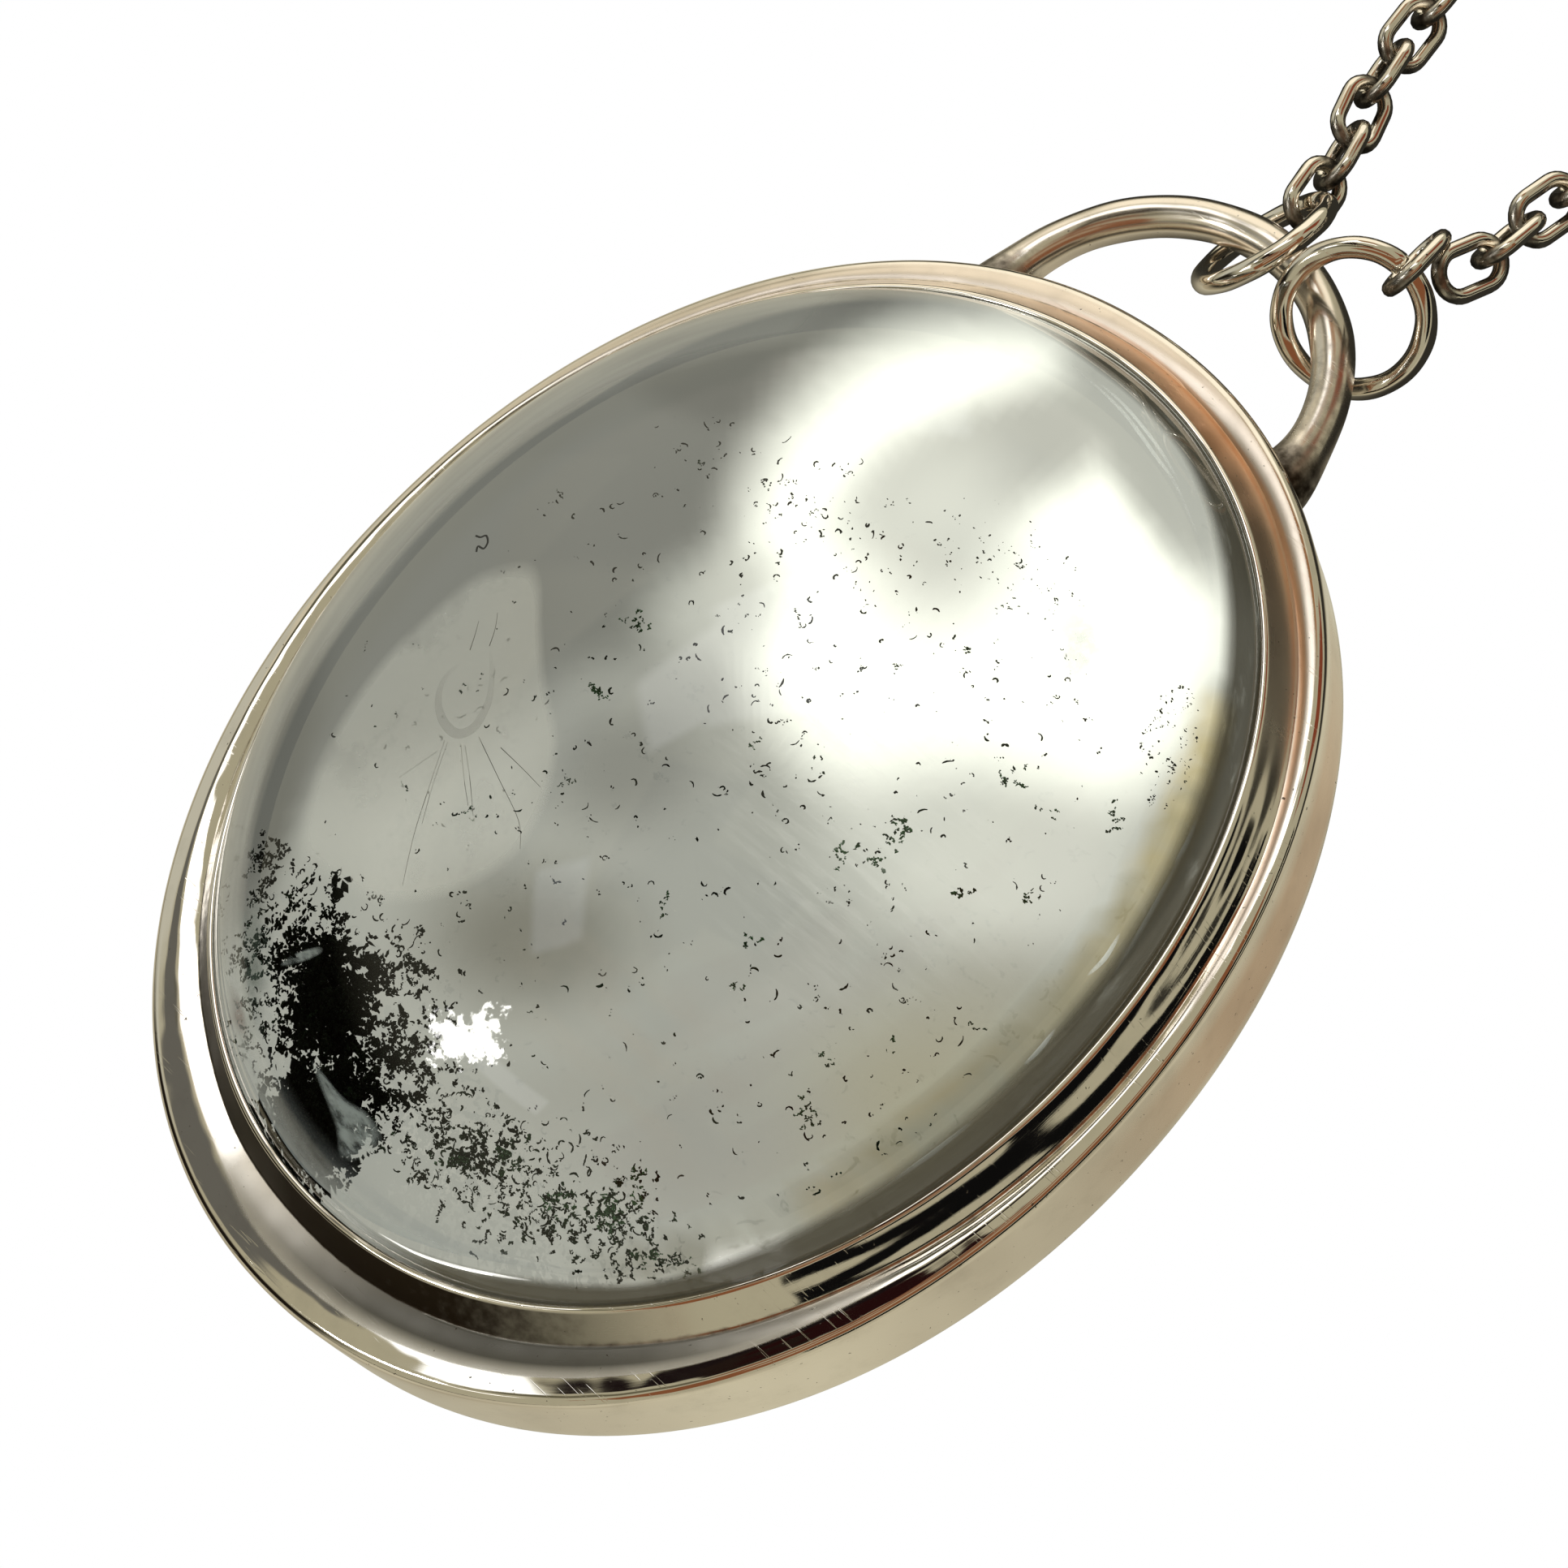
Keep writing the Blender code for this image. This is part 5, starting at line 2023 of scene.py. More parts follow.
@dataclass
class CableChain:
    """The two strands of cable links. The routes' points are chosen as in the solids."""

    setting: BezelSetting
    rings: dict[Side, JumpRing]
    link_wire: float = 0.44
    link_length: float = 2.5
    loose_gap: float = 0.1
    link_roll: float = math.radians(45.0)
    ring_drop: tuple[float, float] = (0.62, 0.28)
    near_links: int = 14
    solid_links: int = 5
    loop_turn: float = math.radians(83.0)
    loop_start: tuple[float, float] = (1.3, 5.6)
    clasp_place: tuple[float, float] = (205.6, 1.2)

    # Points on each quarter of a link's end and sides of its wire, near the pendant and further off
    FINE = (7, 12)
    COARSE = (3, 6)
    SEEDS = {Side.LEFT: 5, Side.RIGHT: 9}
    EVEN_LINKS = 5
    ROLL_SPREAD = 4.0
    END_GAP = 0.2
    ROUTES = {
        Side.LEFT: ((2.0, 1.9), (4.5, 3.1), (8.0, 4.0), (14.0, 5.0), (30.0, 8.3), (60.0, 15.8), (100.0, 25.2),
                    (135.0, 31.5), (160.0, 32.2), (180.0, 27.7), (195.0, 18.7), (203.0, 9.9)),
        Side.RIGHT: ((1.2, -4.1), (4.0, -3.9), (8.0, -4.1), (14.0, -5.0), (30.0, -8.3), (60.0, -15.8),
                     (100.0, -25.2), (135.0, -31.5), (160.0, -32.2), (180.0, -27.7), (195.0, -18.7),
                     (203.0, -10.6)),
    }

    @property
    def ring_wire(self) -> float:
        """The jump rings' wire, which the links' width leaves room for."""
        return self.rings[Side.LEFT].wire

    @property
    def link_width(self) -> float:
        """A link across."""
        return self.ring_wire + 2 * self.loose_gap + 2 * self.link_wire

    @property
    def pitch(self) -> float:
        """From one link's middle to the next."""
        return self.link_length - 2 * self.link_wire - self.loose_gap

    @property
    def lying(self) -> float:
        """Height of the chain's middle where its rolled links touch the surface."""
        return (self.link_width - self.link_wire) / 2 * math.sin(self.link_roll) + self.link_wire / 2

    def loop_point(self, spot: tuple[float, float], height: float) -> Vector:
        """A point of a route, from its place along the loop's axis and to the left of it.

        Args:
            spot: Millimetres along the axis, and to its left.
            height: Above the surface.

        Returns:
            The point in millimetres.
        """
        axis = Vector((math.cos(self.loop_turn), math.sin(self.loop_turn)))
        side = Vector((-axis.y, axis.x))
        start = Vector((self.loop_start[0], self.setting.shape.frame_length / 2 + self.loop_start[1]))
        flat = start + spot[0] * axis + spot[1] * side
        return Vector((flat.x, flat.y, height))

    def route(self, side: Side, end_reach: float) -> tuple[Route, Vector]:
        """One strand's way.

        Args:
            side: The strand.
            end_reach: How far the clasp's side lies from the clasp's middle.

        Returns:
            The way, and the direction of the jump ring's wire where the strand leaves it.
        """
        ring = self.rings[side]
        spots = self.ROUTES[side]
        pull = self.loop_point(spots[1], 0.0) - self.loop_point(spots[0], 0.0)
        pull = (pull - pull.dot(ring.axis) * ring.axis).normalized()
        start = ring.middle + ring.radius * pull
        points = [start]
        for i, spot in enumerate(spots):
            share = self.ring_drop[i] if i < len(self.ring_drop) else 0.0
            points.append(self.loop_point(spot, self.lying + share * (start.z - self.lying)))
        end = (self.clasp_place[0], self.clasp_place[1] + side.value * end_reach)
        points.append(self.loop_point(end, self.lying))
        return Route(points), ring.axis.cross(pull)

    def poses(self, side: Side, end_reach: float) -> list[LinkPose]:
        """Every link of a strand, rolled to one side and the other by turns.

        Args:
            side: The strand.
            end_reach: How far the clasp's side lies from its middle.

        Returns:
            The links from the jump ring to the clasp.
        """
        route, ring_tangent = self.route(side, end_reach)
        dice = random.Random(self.SEEDS[side])
        first = (self.link_length - 2 * self.link_wire - self.ring_wire) / 2 - self.loose_gap
        poses = []
        number = 0
        while True:
            distance = first + number * self.pitch
            if distance > route.length - self.END_GAP:
                return poses
            along = route.heading(distance, self.pitch / 2)
            spot = route.at(distance)
            left = Vector((0, 0, 1)).cross(along).normalized()
            up = along.cross(left)
            roll = self.link_roll if number % 2 == 0 else -self.link_roll
            if number > self.EVEN_LINKS:
                roll += math.radians(dice.gauss(0, self.ROLL_SPREAD))
            axis = math.cos(roll) * up - side.value * math.sin(roll) * left
            if number == 0:
                axis = ring_tangent
                along = (along - along.dot(axis) * axis).normalized()
                spot = route.at(0.0) + first * along
            poses.append(LinkPose(spot, along, axis))
            number += 1

    def link_tree(self) -> bpy.types.NodeTree:
        """Geometry Nodes that put a link on every point, turned by the point's two directions.

        Returns:
            The group.
        """
        tree = bpy.data.node_groups.new("cable_links", "GeometryNodeTree")
        for name, kind in (("Points", "Geometry"), ("Link Length", "Float"), ("Link Width", "Float"),
                           ("Wire", "Float"), ("Bend Steps", "Int"), ("Wire Sides", "Int"),
                           ("Silver", "Material")):
            tree.interface.new_socket(name=name, in_out="INPUT", socket_type="NodeSocket" + kind)
        tree.interface.new_socket(name="Chain", in_out="OUTPUT", socket_type="NodeSocketGeometry")
        bench = NodeBench(tree)
        given = bench.add("NodeGroupInput").outputs
        reach = bench.less(given["Link Length"], given["Wire"])
        across = bench.less(given["Link Width"], given["Wire"])
        link = bench.out("GeometryNodeCurvePrimitiveQuadrilateral", {"Width": reach, "Height": across})
        link = bench.out("GeometryNodeFilletCurve", {
            "Curve": link, "Count": given["Bend Steps"], "Radius": bench.times(across, 0.499)}, mode="POLY")
        wire = bench.out("GeometryNodeCurvePrimitiveCircle", {
            "Resolution": given["Wire Sides"], "Radius": bench.times(given["Wire"], 0.5)})
        link = bench.out("GeometryNodeCurveToMesh", {"Curve": link, "Profile Curve": wire})
        spot = bench.add("ShaderNodeSeparateXYZ", {"Vector": bench.out("GeometryNodeInputPosition")})
        end = bench.math("DIVIDE", bench.math("ABSOLUTE", spot.outputs["X"]), given["Link Length"])
        link = bench.out("GeometryNodeStoreNamedAttribute", {
            "Geometry": link, "Name": "crevice", "Value": bench.ramp(end, 0.22, 0.42, 0.2, 0.74)},
            data_type="FLOAT", domain="POINT")
        turn = bench.add("FunctionNodeAxesToRotation", primary_axis="Z", secondary_axis="X")
        for number, name in enumerate(("axis", "along")):
            pointer = bench.add("GeometryNodeInputNamedAttribute", {"Name": name}, data_type="FLOAT_VECTOR")
            bench.feed(turn.inputs[number], pointer.outputs["Attribute"])
        chain = bench.out("GeometryNodeInstanceOnPoints", {
            "Points": given["Points"], "Instance": link, "Rotation": turn.outputs["Rotation"]})
        chain = bench.out("GeometryNodeRealizeInstances", {"Geometry": chain})
        chain = bench.out("GeometryNodeSetMaterial", {"Geometry": chain, "Material": given["Silver"]})
        bench.add("NodeGroupOutput", {"Chain": chain})
        return tree

    def make_run(self, name: str, poses: list[LinkPose], tree: bpy.types.NodeTree,
                 detail: tuple[int, int], material: Material) -> Piece:
        """Bakes the links at the given poses into one piece.

        Args:
            name: The piece's name.
            poses: The links.
            tree: The link tree.
            detail: Points on each quarter of a link's end, and sides of the wire.
            material: The chain's silver.

        Returns:
            The piece, a plain mesh.
        """
        bench = self.setting.bench
        mesh = bpy.data.meshes.new(name)
        mesh.from_pydata([bench.at(pose.spot) for pose in poses], [], [])
        for key in ("along", "axis"):
            layer = mesh.attributes.new(key, "FLOAT_VECTOR", "POINT")
            for value, pose in zip(layer.data, poses):
                value.vector = getattr(pose, key)
        piece = bpy.data.objects.new(name, mesh)
        bpy.context.scene.collection.objects.link(piece)
        maker = piece.modifiers.new("links", "NODES")
        maker.node_group = tree
        values = {"Link Length": self.link_length * MM, "Link Width": self.link_width * MM,
                  "Wire": self.link_wire * MM, "Bend Steps": detail[0], "Wire Sides": detail[1],
                  "Silver": material}
        for item in tree.interface.items_tree:
            if item.in_out == "INPUT" and item.name in values:
                maker[item.identifier] = values[item.name]
        bake(piece)
        work = bmesh.new()
        work.from_mesh(piece.data)
        bmesh.ops.recalc_face_normals(work, faces=work.faces)
        work.to_mesh(piece.data)
        work.free()
        piece.data.shade_smooth()
        return piece

    def make(self, material: Material, reaches: dict[Side, float]) -> None:
        """Builds both strands, the links near the pendant finer than the rest.

        Args:
            material: The chain's silver.
            reaches: How far from the clasp's middle each strand ends.
        """
        tree = self.link_tree()
        for side in Side:
            poses = self.poses(side, reaches[side])
            near, rest = poses[:self.near_links], poses[self.near_links:]
            solids = ["link_%s_%d" % (side.word, i + 1) for i in range(self.solid_links)]
            run = self.make_run("near_links_" + side.word, near, tree, self.FINE, material)
            settle(run, Slot.CHAIN, *solids)
            run = self.make_run("cable_strand_" + side.word, rest, tree, self.COARSE, material)
            settle(run, Slot.CHAIN, "chain_" + side.word)


@dataclass
class RingClasp:
    """A plain round clasp with its eye."""

    chain: CableChain
    diameter: float = 6.0
    wire: float = 1.1
    eye_diameter: float = 3.0
    eye_wire: float = 0.7
    seat_gap: float = 0.3
    steps: int = 72
    sides: int = 20

    @property
    def eye_middle(self) -> float:
        """From the clasp's middle to the eye's: its wire sinks into the clasp's."""
        return self.diameter / 2 + self.eye_diameter / 2 - (self.eye_wire + self.wire) / 2 + self.eye_wire / 4

    def reaches(self) -> dict[Side, float]:
        """How far from the clasp's middle each strand ends."""
        return {Side.LEFT: self.diameter / 2 + self.seat_gap,
                Side.RIGHT: self.eye_middle + self.eye_diameter / 2 + self.seat_gap}

    def hoop(self, name: str, middle: Vector, diameter: float, wire: float,
             material: Material) -> Piece:
        """One round of wire lying flat.

        Args:
            name: The piece's name.
            middle: Its middle in millimetres.
            diameter: Across, outside.
            wire: The wire's diameter.
            material: The silver.

        Returns:
            The piece.
        """
        radius = (diameter - wire) / 2
        turns = [2 * math.pi * i / self.steps for i in range(self.steps)]
        path = [middle + radius * Vector((math.cos(turn), math.sin(turn), 0.0)) for turn in turns]
        work = bmesh.new()
        skin(work, tube_loops(path, [wire / 2] * len(path), self.sides, True), True)
        return forge(name, work, self.chain.setting.bench, material, 50.0)

    def make(self, material: Material) -> Piece:
        """Builds the clasp as one body.

        Args:
            material: The clasp's silver.

        Returns:
            The piece that stands for the solid clasp.
        """
        place = self.chain.loop_point(self.chain.clasp_place, self.wire / 2)
        aside = Matrix.Rotation(self.chain.loop_turn - math.pi / 2, 3, "Z") @ Vector((self.eye_middle, 0, 0))
        ring = self.hoop("ring_clasp", place, self.diameter, self.wire, material)
        eye = self.hoop("clasp_eye", place + aside, self.eye_diameter, self.eye_wire, material)
        solder(ring, eye, 50.0)
        return settle(ring, Slot.CHAIN, "clasp")


# The stage


@dataclass(frozen=True)
class Patch:
    """A soft-edged rectangle of the surroundings: direction in degrees, half sizes, and colour.

    Its share through is how much of it is left for rays that come out of the stone.
    """

    name: str
    azimuth: float
    elevation: float
    half_width: float
    half_height: float
    softness: float
    colour: Triple
    power: float
    tilt: float = 0.0
    through: float = 1.0
    ragged: float = 0.0


def heading(azimuth: float, elevation: float) -> Vector:
    """A direction, azimuth in degrees from +X towards +Y and elevation above the floor."""
    a, e = math.radians(azimuth), math.radians(elevation)
    return Vector((math.cos(e) * math.cos(a), math.cos(e) * math.sin(a), math.sin(e)))


@dataclass
class Studio:
    """The pale floor and the soft surroundings that the silver mirrors."""

    bench: Bench
    floor_size: float = 1.6
    base: Triple = (0.40, 0.375, 0.27)
    backdrop: Triple = (1.0, 1.0, 1.0)
    cloth_light: Triple = (0.60, 0.56, 0.42)
    cloth_shade: Triple = (0.38, 0.34, 0.25)
    cloth_painted_shade: Triple = (0.03, 0.028, 0.022)

    # Painted shade on the cloth that the silver mirrors: a direction in degrees, and the distances over which
    # the cloth turns dark.
    PAINTED_SHADE_SIDES = ((226.0, 32.0, 60.0), (80.0, 16.0, 21.0))

    PATCHES = (
        Patch("far_low", 182.0, 26.0, 0.42, 0.30, 0.20, (0.52, 0.51, 0.43), 1.0),
        Patch("cream_wide", 142.0, 38.0, 0.55, 0.45, 0.12, (0.62, 0.57, 0.44), 1.0),
        Patch("cream_top", 124.0, 27.0, 0.40, 0.33, 0.12, (1.10, 1.02, 0.84), 1.0),
        Patch("brown_top", 114.0, 54.0, 0.16, 0.09, 0.05, (0.30, 0.145, 0.065), 1.0),
        Patch("window_wide", 150.0, 61.2, 0.185, 0.122, 0.03, (1.0, 0.99, 0.97), 1.8, 0.0, 0.1),
        Patch("window_high", 124.0, 69.9, 0.235, 0.050, 0.03, (1.0, 0.99, 0.97), 1.8, 0.0, 0.1),
        Patch("dark_wall", 193.0, 52.0, 0.21, 0.125, 0.05, (0.125, 0.122, 0.108), 1.0),
        Patch("olive_wall", 166.0, 51.5, 0.12, 0.10, 0.04, (0.105, 0.10, 0.065), 1.0),
        Patch("window_left", 221.0, 64.0, 0.095, 0.062, 0.03, (0.95, 0.98, 1.0), 1.6),
        Patch("olive_high", 266.0, 65.0, 0.22, 0.09, 0.06, (0.12, 0.11, 0.07), 1.0),
        Patch("black_high", 196.0, 76.0, 0.14, 0.11, 0.03, (0.010, 0.006, 0.006), 1.0),
        Patch("black_middle", 240.0, 78.0, 0.11, 0.06, 0.03, (0.014, 0.008, 0.006), 1.0),
        Patch("brown_zenith", 322.0, 71.0, 0.22, 0.12, 0.04, (0.20, 0.088, 0.045), 1.0),
        Patch("black_zenith", 275.0, 84.5, 0.18, 0.075, 0.02, (0.016, 0.004, 0.004), 1.0),
        Patch("black_horizon", 227.0, 10.0, 0.42, 0.40, 0.28, (0.012, 0.009, 0.006), 1.0),
        Patch("red_side", 345.0, 44.0, 0.90, 0.33, 0.08, (0.21, 0.08, 0.035), 1.0),
        Patch("tan_side", 350.0, 50.0, 0.50, 0.08, 0.06, (0.38, 0.30, 0.20), 1.0),
        Patch("red_low", 68.0, 32.0, 0.16, 0.26, 0.06, (0.20, 0.05, 0.025), 1.0),
        Patch("black_low", 3.0, 15.0, 0.86, 0.125, 0.02, (0.004, 0.004, 0.004), 1.0),
        Patch("window_low", 259.0, 47.0, 0.12, 0.03, 0.02, (1.0, 0.99, 0.96), 1.6, 0.0, 0.1),
        Patch("highlight", 242.8, 46.3, 0.052, 0.100, 0.03, (1.0, 0.99, 0.96), 22.0, -30.0, 0.0, 0.20),
    )

    def make_world(self) -> None:
        """Paints the surroundings by direction; the camera itself sees a plain backdrop."""
        world = bpy.data.worlds.new("studio")
        world.use_nodes = True
        bpy.context.scene.world = world
        tree = world.node_tree
        tree.nodes.clear()
        bench = NodeBench(tree)
        way = bench.add("ShaderNodeTexCoord").outputs["Generated"]
        path = bench.add("ShaderNodeLightPath").outputs
        colour = bench.out("ShaderNodeRGB")
        colour.default_value = (*self.base, 1.0)
        for patch in self.PATCHES:
            ahead = heading(patch.azimuth, patch.elevation)
            level = Vector((0, 0, 1)).cross(ahead).normalized()
            upright = ahead.cross(level)
            tilt = math.radians(patch.tilt)
            right = math.cos(tilt) * level + math.sin(tilt) * upright
            up = ahead.cross(right)
            depth = bench.vector("DOT_PRODUCT", way, tuple(ahead))
            masks = [bench.ramp(depth, 0.0, 0.05)]
            fray = 0.0
            if patch.ragged > 0.0:
                fray = bench.times(bench.less(bench.noise(way, 30.0, 2.0, 0.7), 0.5), patch.ragged)
            for axis, half in ((right, patch.half_width), (up, patch.half_height)):
                aside = bench.math("DIVIDE", bench.vector("DOT_PRODUCT", way, tuple(axis)), depth)
                aside = bench.math("ABSOLUTE", aside)
                if patch.ragged > 0.0:
                    aside = bench.plus(aside, fray)
                soft = patch.softness / 2
                masks.append(bench.ramp(aside, half - soft, half + soft, 1.0, 0.0))
            mask = bench.times(bench.times(masks[0], masks[1]), masks[2])
            if patch.through < 1.0:
                lost = bench.times(path["Is Transmission Ray"], 1 - patch.through)
                mask = bench.times(mask, bench.less(1.0, lost))
            colour = bench.blend(mask, colour, tuple(patch.power * part for part in patch.colour))
        light = bench.out("ShaderNodeBackground", {"Color": colour, "Strength": 1.0})
        plain = bench.out("ShaderNodeBackground", {"Color": self.backdrop, "Strength": 1.0})
        choice = bench.out("ShaderNodeMixShader", {0: path["Is Camera Ray"], 1: light, 2: plain})
        bench.add("ShaderNodeOutputWorld", {"Surface": choice})

    def make_floor(self) -> None:
        """A pale floor under the necklace. The silver mirrors it as warm cloth, with painted shade on two
        sides.
        """
        material, bench = bare_material("pale_floor")
        paper = bench.out("ShaderNodeEmission", {"Color": self.backdrop, "Strength": 1.0})
        cloud = bench.ramp(bench.noise(object_place(bench), 0.09, 3.0), 0.3, 0.7)
        cloth = bench.blend(cloud, self.cloth_shade, self.cloth_light)
        place = bench.vector("SUBTRACT", object_place(bench), tuple(self.bench.origin / MM))
        for side, near, far in self.PAINTED_SHADE_SIDES:
            away = bench.vector("DOT_PRODUCT", place, tuple(heading(side, 0.0)))
            cloth = bench.blend(bench.ramp(away, near, far), cloth, self.cloth_painted_shade)
        cloth = bench.out("ShaderNodeEmission", {"Color": cloth})
        seen = bench.add("ShaderNodeLightPath").outputs["Is Camera Ray"]
        choice = bench.out("ShaderNodeMixShader", {0: seen, 1: cloth, 2: paper})
        bench.add("ShaderNodeOutputMaterial", {"Surface": choice})
        work = bmesh.new()
        bmesh.ops.create_grid(work, x_segments=1, y_segments=1, size=self.floor_size / MM / 2)
        floor = forge("floor", work, Bench(Vector((0.0, 0.0, 0.0))), material, heal=False)


@dataclass(frozen=True)
class Glow(Spot):
    """A soft oval of light or shade that shows through the stone, placed by the photograph."""

    soft: float
    tone: float
    share: float = 1.0
    tint: Triple = (1.0, 1.0, 1.0)


class LightPool:
    """The light that the stone gathers on the surface under it, set where the photograph shows it."""

    BASE = 0.40
    CAST = (1.0, 1.02, 0.90)
    STEP = 11
    LIFT = 0.02
    RINGS = 60
    ROUND = 180
    FRINGE = ((1500, 870), (1478, 940), (1448, 1010), (1400, 1105), (1345, 1190), (1270, 1270), (1180, 1345),
              (1090, 1420), (1000, 1490))
    FRINGE_ENDS = (940.0, 1300.0)
    FRINGE_WIDTH = 13
    FRINGE_STRENGTH = 0.9
    FRINGE_LIMIT = 400
    FIELD = (range(180, 1660, STEP), range(300, 1740, STEP))
    FLAMES = (Vector((0.70, 0.55, 0.25)), Vector((0.26, 0.21, 0.12)))
    BEYOND = (0.22, 0.225, 0.20)
    FOLD = 4.62
    INSET = 0.3
    NEAREST = 4
    EVENNESS = 0.04
    WARM = (1.0, 0.90, 0.62)
    GLOWS = (
        Glow("shade_top_left", 600, 620, 470, 235, -42, 0.24, 0.185),
        Glow("shade_waist", 812, 640, 125, 170, 20, 0.40, 0.20),
        Glow("grey_lobe", 1010, 428, 240, 94, -6, 0.14, 0.15),
        Glow("left_edge", 336, 960, 42, 190, 14, 0.5, 0.135),
        Glow("white_right", 1225, 715, 315, 325, 0, 0.20, 1.35),
        Glow("grey_patch", 1235, 560, 200, 70, -24, 0.50, 0.50),
        Glow("grey_edge", 1420, 560, 55, 190, -30, 0.35, 0.52),
        Glow("grey_tail", 1160, 650, 90, 110, 10, 0.7, 0.74),
        Glow("bright_tongue", 885, 745, 80, 60, -25, 0.7, 0.62, 0.85),
        Glow("middle_light", 1225, 1055, 200, 110, 10, 0.55, 0.68),
        Glow("shade_middle", 770, 945, 95, 75, -10, 0.8, 0.22, 0.9),
        Glow("low_right", 1120, 1360, 200, 110, -30, 0.8, 0.36, 0.9, (1.0, 0.94, 0.76)),
        Glow("low_left", 645, 1155, 115, 80, 0, 0.8, 0.13, 0.8, (1.0, 0.95, 0.82)),
        Glow("low_middle", 800, 1400, 200, 110, 0, 0.7, 0.33),
        Glow("low_edge", 860, 1600, 220, 60, -12, 0.5, 0.13, 1.0, WARM),
        Glow("low_white", 930, 1560, 45, 26, -10, 0.6, 1.1),
    )

    def __init__(self, stone: QuartzCabochon) -> None:
        """Lights the surface under a given stone."""
        self.stone = stone

    def light(self, pixel: Pixel) -> Vector:
        """The light that the surface gives where it shows at a pixel.

        Args:
            pixel: A place in the photograph.

        Returns:
            The light's red, green and blue.
        """
        tone = Vector((self.BASE,) * 3)
        for glow in self.GLOWS:
            turn = math.radians(glow.turn)
            x, y = pixel[0] - glow.x, pixel[1] - glow.y
            along = (x * math.cos(turn) + y * math.sin(turn)) / glow.reach_x
            aside = (y * math.cos(turn) - x * math.sin(turn)) / glow.reach_y
            reach = math.hypot(along, aside)
            share = min(1.0, max(0.0, (1 + glow.soft - reach) / (2 * glow.soft)))
            share = glow.share * share * share * (3 - 2 * share)
            tone = tone.lerp(glow.tone * Vector(glow.tint), share)
        away = self.fringe(pixel)
        if abs(away) < self.FRINGE_LIMIT:
            start, end = self.FRINGE_ENDS
            fall = min(1.0, max(0.0, (pixel[1] - start) / (end - start)))
            tone = tone.lerp(Vector(self.BEYOND), min(1.0, max(0.0, (away + 4) / 20)))
            strength = self.FRINGE_STRENGTH * math.exp(-((away / self.FRINGE_WIDTH) ** 2))
            tone = tone.lerp(self.FLAMES[0].lerp(self.FLAMES[1], fall), strength)
        return Vector(a * b for a, b in zip(tone, self.CAST))

    def fringe(self, pixel: Pixel) -> float:
        """How far a pixel lies outside the bright field's coloured lower right edge, below zero inside.

        Args:
            pixel: A place in the photograph.

        Returns:
            The distance in pixels.
        """
        best = math.inf
        spot = Vector(pixel)
        for start, end in zip(self.FRINGE, self.FRINGE[1:]):
            run = Vector(end) - Vector(start)
            share = min(1.0, max(0.0, (spot - Vector(start)).dot(run) / run.length_squared))
            aside = spot - Vector(start) - share * run
            if aside.length < abs(best):
                best = math.copysign(aside.length, aside.x * run.y - aside.y * run.x)
        return best

    def make(self) -> None:
        """Lays a thin sheet of light on the floor inside the frame; it belongs to the stage."""
        material, bench = bare_material("gathered_light")
        colour = bench.add("ShaderNodeAttribute", attribute_name="light").outputs["Color"]
        glow = bench.out("ShaderNodeEmission", {"Color": colour, "Strength": 1.0})
        bench.add("ShaderNodeOutputMaterial", {"Surface": glow})
        spots = []
        for x in self.FIELD[0]:
            for y in self.FIELD[1]:
                entry = self.stone.enter((x, y))
                spot = self.stone.below((x, y))
                if spot is not None and entry[0].z > self.FOLD:
                    spots.append((spot, self.light((x, y))))
        probes = KDTree(len(spots))
        for i, (spot, _) in enumerate(spots):
            probes.insert((spot.x, spot.y, 0.0), i)
        probes.balance()
        shape = self.stone.shape
        work = bmesh.new()
        light = work.verts.layers.float_color.new("light")
        rows = []
        for ring in range(1, self.RINGS + 1):
            reach = ring / self.RINGS
            across = reach * (shape.stone_width / 2 - self.INSET * shape.ledge_width)
            along = reach * (shape.stone_length / 2 - self.INSET * shape.ledge_width)
            row = []
            for step in range(self.ROUND):
                turn = 2 * math.pi * step / self.ROUND
                spot = shape.oval(across, along, turn, self.LIFT, shape.stone_shift)
                vertex = work.verts.new(spot)
                tone, total = Vector((0.0, 0.0, 0.0)), 0.0
                for _, i, gap in probes.find_n((spot.x, spot.y, 0.0), self.NEAREST):
                    weight = 1 / (gap + self.EVENNESS)
                    tone += weight * spots[i][1]
                    total += weight
                vertex[light] = (*(tone / total), 1.0)
                row.append(vertex)
            rows.append(row)
        lattice(work, rows, True)
        pool = forge("gathered_light", work, self.stone.bench, material, heal=False)


RING_PLACES = (
    RingPlace(Side.LEFT, 88.4, -0.050, 0.093, (-0.66, 0.18, 0.73), 352.0),
    RingPlace(Side.RIGHT, 50.3, 0.323, 0.186, (0.415, -0.666, 0.62), 2.0),
)


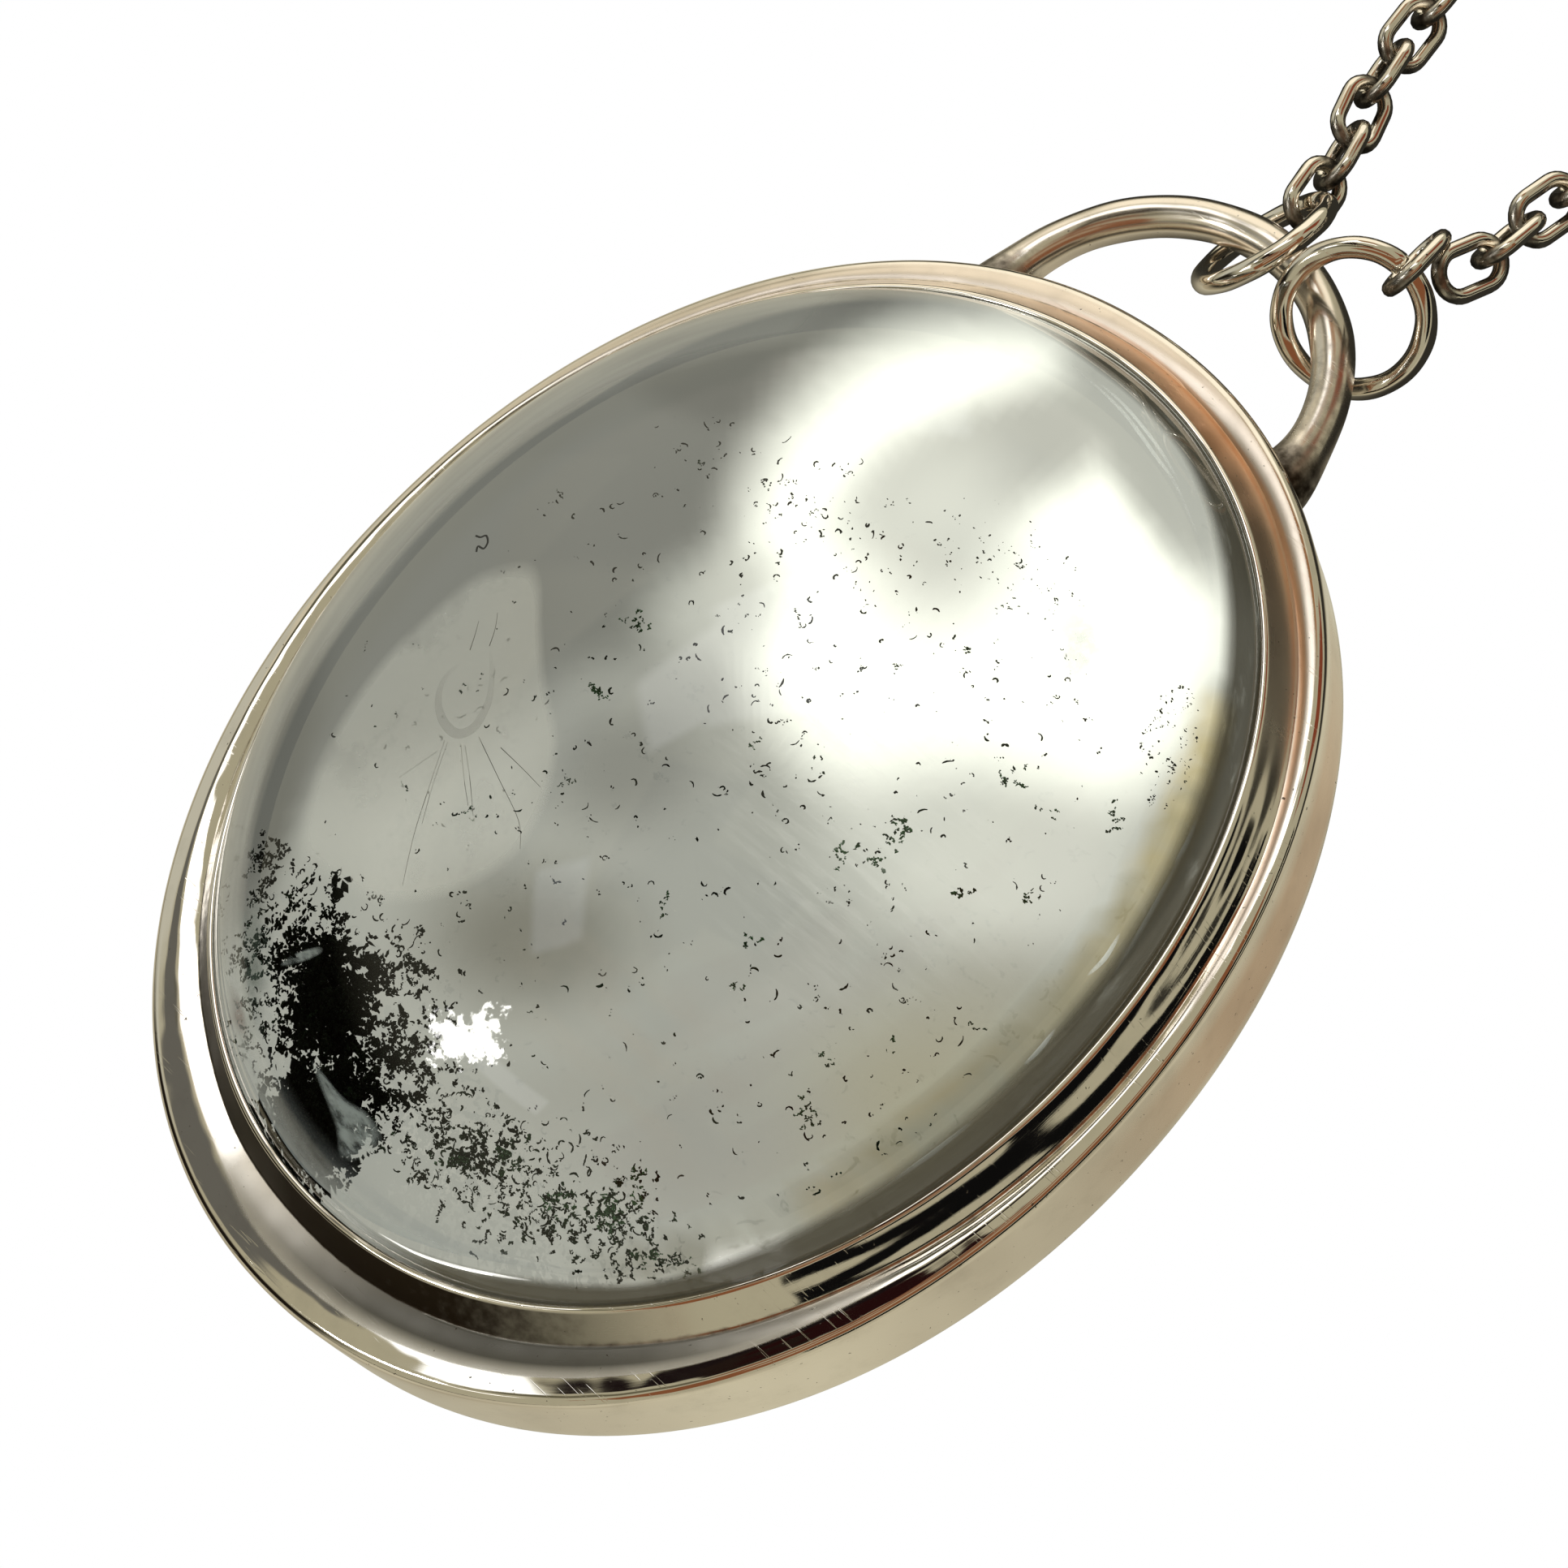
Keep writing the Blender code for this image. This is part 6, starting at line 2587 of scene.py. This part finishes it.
def dress_inside(stone: QuartzCabochon) -> None:
    """Grows the moss and hangs the veils inside the stone.

    Args:
        stone: The stone.
    """
    garden = MossGarden(stone)
    moss = MossFinish("dark_moss").material()
    garden.grow("moss_thicket", garden.DENSE, moss)
    leaf = MossFinish("leaf_moss", (0.010, 0.024, 0.013), (0.10, 0.24, 0.12)).material()
    garden.grow("moss_tufts", garden.TUFTS, leaf)
    garden.scatter("moss_drift", garden.DRIFTS, moss)
    ghosts = Ghosts(stone)
    pale = VeilFinish("phantom_veil", (0.80, 0.82, 0.74), 0.48, 0.34, (0.5, 0.5, 0.5), 0.4, 0.1, 0.5)
    ghosts.sheet(ghosts.DROP, pale.material())
    frost = VeilFinish("frosted_wedge", (0.62, 0.72, 0.70), 0.28, 0.62, (1.2, 2.5, 1.0), 0.9, 0.25, 0.6)
    frosted = frost.material()
    ghosts.sheet(ghosts.WEDGE, frosted)
    ghosts.sheet(ghosts.SHARD, frosted)
    rust = VeilFinish("rust_stain", (0.30, 0.10, 0.05), 0.12, 0.75, (2.0, 2.0, 2.0), 0.0, 0.2, 0.6)
    ghosts.sheet(ghosts.RUST, rust.material())
    lily = VeilFinish("lily_veil", (0.62, 0.72, 0.64), 0.55, 0.45, (1.5, 1.5, 1.5), 0.0, 0.35, 0.7)
    ghosts.sheet(ghosts.LILY, lily.material())
    silk = VeilFinish("silk_fibres", (0.92, 0.95, 0.90), 0.62, 0.26, (0.5, 3.6, 1.0), 0.95, 0.40, 0.80)
    ghosts.sheet(ghosts.SILK, silk.material())
    mist = VeilFinish("warm_haze", (0.66, 0.60, 0.50), 0.34, 0.26, (0.5, 1.2, 1.0), 0.3, 0.35, 0.75)
    ghosts.sheet(ghosts.MIST, mist.material())
    shade = VeilFinish("olive_shade", (0.075, 0.068, 0.044), 0.45, 0.95, (0.6, 0.6, 2.2), 0.0, -0.25, 0.45)
    ghosts.rim_band(ghosts.OLIVE, shade.material())
    girdle = VeilFinish("girdle_sheen", (0.34, 0.35, 0.32), 0.62, 0.60, (0.3, 0.3, 0.5), 0.0, -0.2, 0.2)
    ghosts.rim_band(ghosts.GIRDLE, girdle.material())
    hem = VeilFinish("blue_hem", (0.42, 0.47, 0.46), 0.42, 0.62, (0.9, 0.9, 0.9), 0.0, -0.1, 0.6)
    ghosts.ribbon("hem_haze", ghosts.HEM, 0.2, hem.material())
    patch = VeilFinish("bright_patch", (1.0, 1.0, 0.96), 1.2, 1.0, (2.4, 2.4, 2.4), 0.0, 0.30, 0.50)
    ghosts.ribbon("rim_sparkle", ghosts.PATCH, 0.3, patch.material())
    ring = VeilFinish("ring_shade", (0.2, 0.2, 0.18), 0.5, 0.16)
    ghosts.strokes("drop_ring", ghosts.RING, 2.6, 0.13, ring.material())
    wisp = VeilFinish("pale_wisp", (0.72, 0.75, 0.70), 0.60, 0.55, (2.0, 2.0, 2.0), 0.0, 0.2, 0.5)
    ghosts.strokes("rim_wisps", ghosts.WISPS, 0.25, 0.07, wisp.material())
    spark = VeilFinish("edge_spark", (1.0, 1.0, 0.97), 1.3, 1.0)
    ghosts.strokes("edge_sparks", ghosts.SPARKS, 0.12, 0.06, spark.material())
    haze = VeilFinish("green_haze", (0.085, 0.12, 0.095), 0.4, 0.62, (1.2, 1.2, 1.2), 0.0, 0.25, 0.6)
    ghosts.sheet(ghosts.HAZE, haze.material())
    ghosts.hairlines(MossFinish("grey_hair", (0.19, 0.19, 0.17), (0.19, 0.19, 0.17)).material())
    ghosts.glints(VeilFinish("bright_glint", (1.0, 0.98, 0.92), 1.0, 1.0).material())


def main() -> None:
    """Builds the scene piece by piece."""
    logging.basicConfig(level=logging.INFO, format="%(name)s: %(message)s")
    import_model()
    scene = bpy.context.scene
    scene.view_settings.view_transform = "Standard"
    shape = OvalShape()
    bench = Bench.from_frame(shape.frame_length)
    camera = PhotoCamera()
    camera.make(bench)
    effects = Effects()
    studio = Studio(bench)
    studio.make_world()
    studio.make_floor()
    setting = BezelSetting(shape, bench)
    setting.make(SilverFinish("setting_silver", along_rim=True).material(effects))
    stone = QuartzCabochon(shape, bench, camera)
    stone.make(QuartzFinish().material())
    LightPool(stone).make()
    dress_inside(stone)
    wire = SilverFinish("wire_silver", polish=0.06, hairlines=0.3, scratches=0.5, tarnish=0.6)
    wire = wire.material(effects)
    rings = {place.side: JumpRing(setting, place) for place in RING_PLACES}
    for ring in rings.values():
        ring.make(wire)
    chain = CableChain(setting, rings)
    clasp = RingClasp(chain)
    links = SilverFinish("chain_silver", polish=0.08, hairlines=0.2, scratches=0.3, tarnish=0.9)
    chain.make(links.material(effects), clasp.reaches())
    clasp.make(wire)


if __name__ == "__main__":
    main()
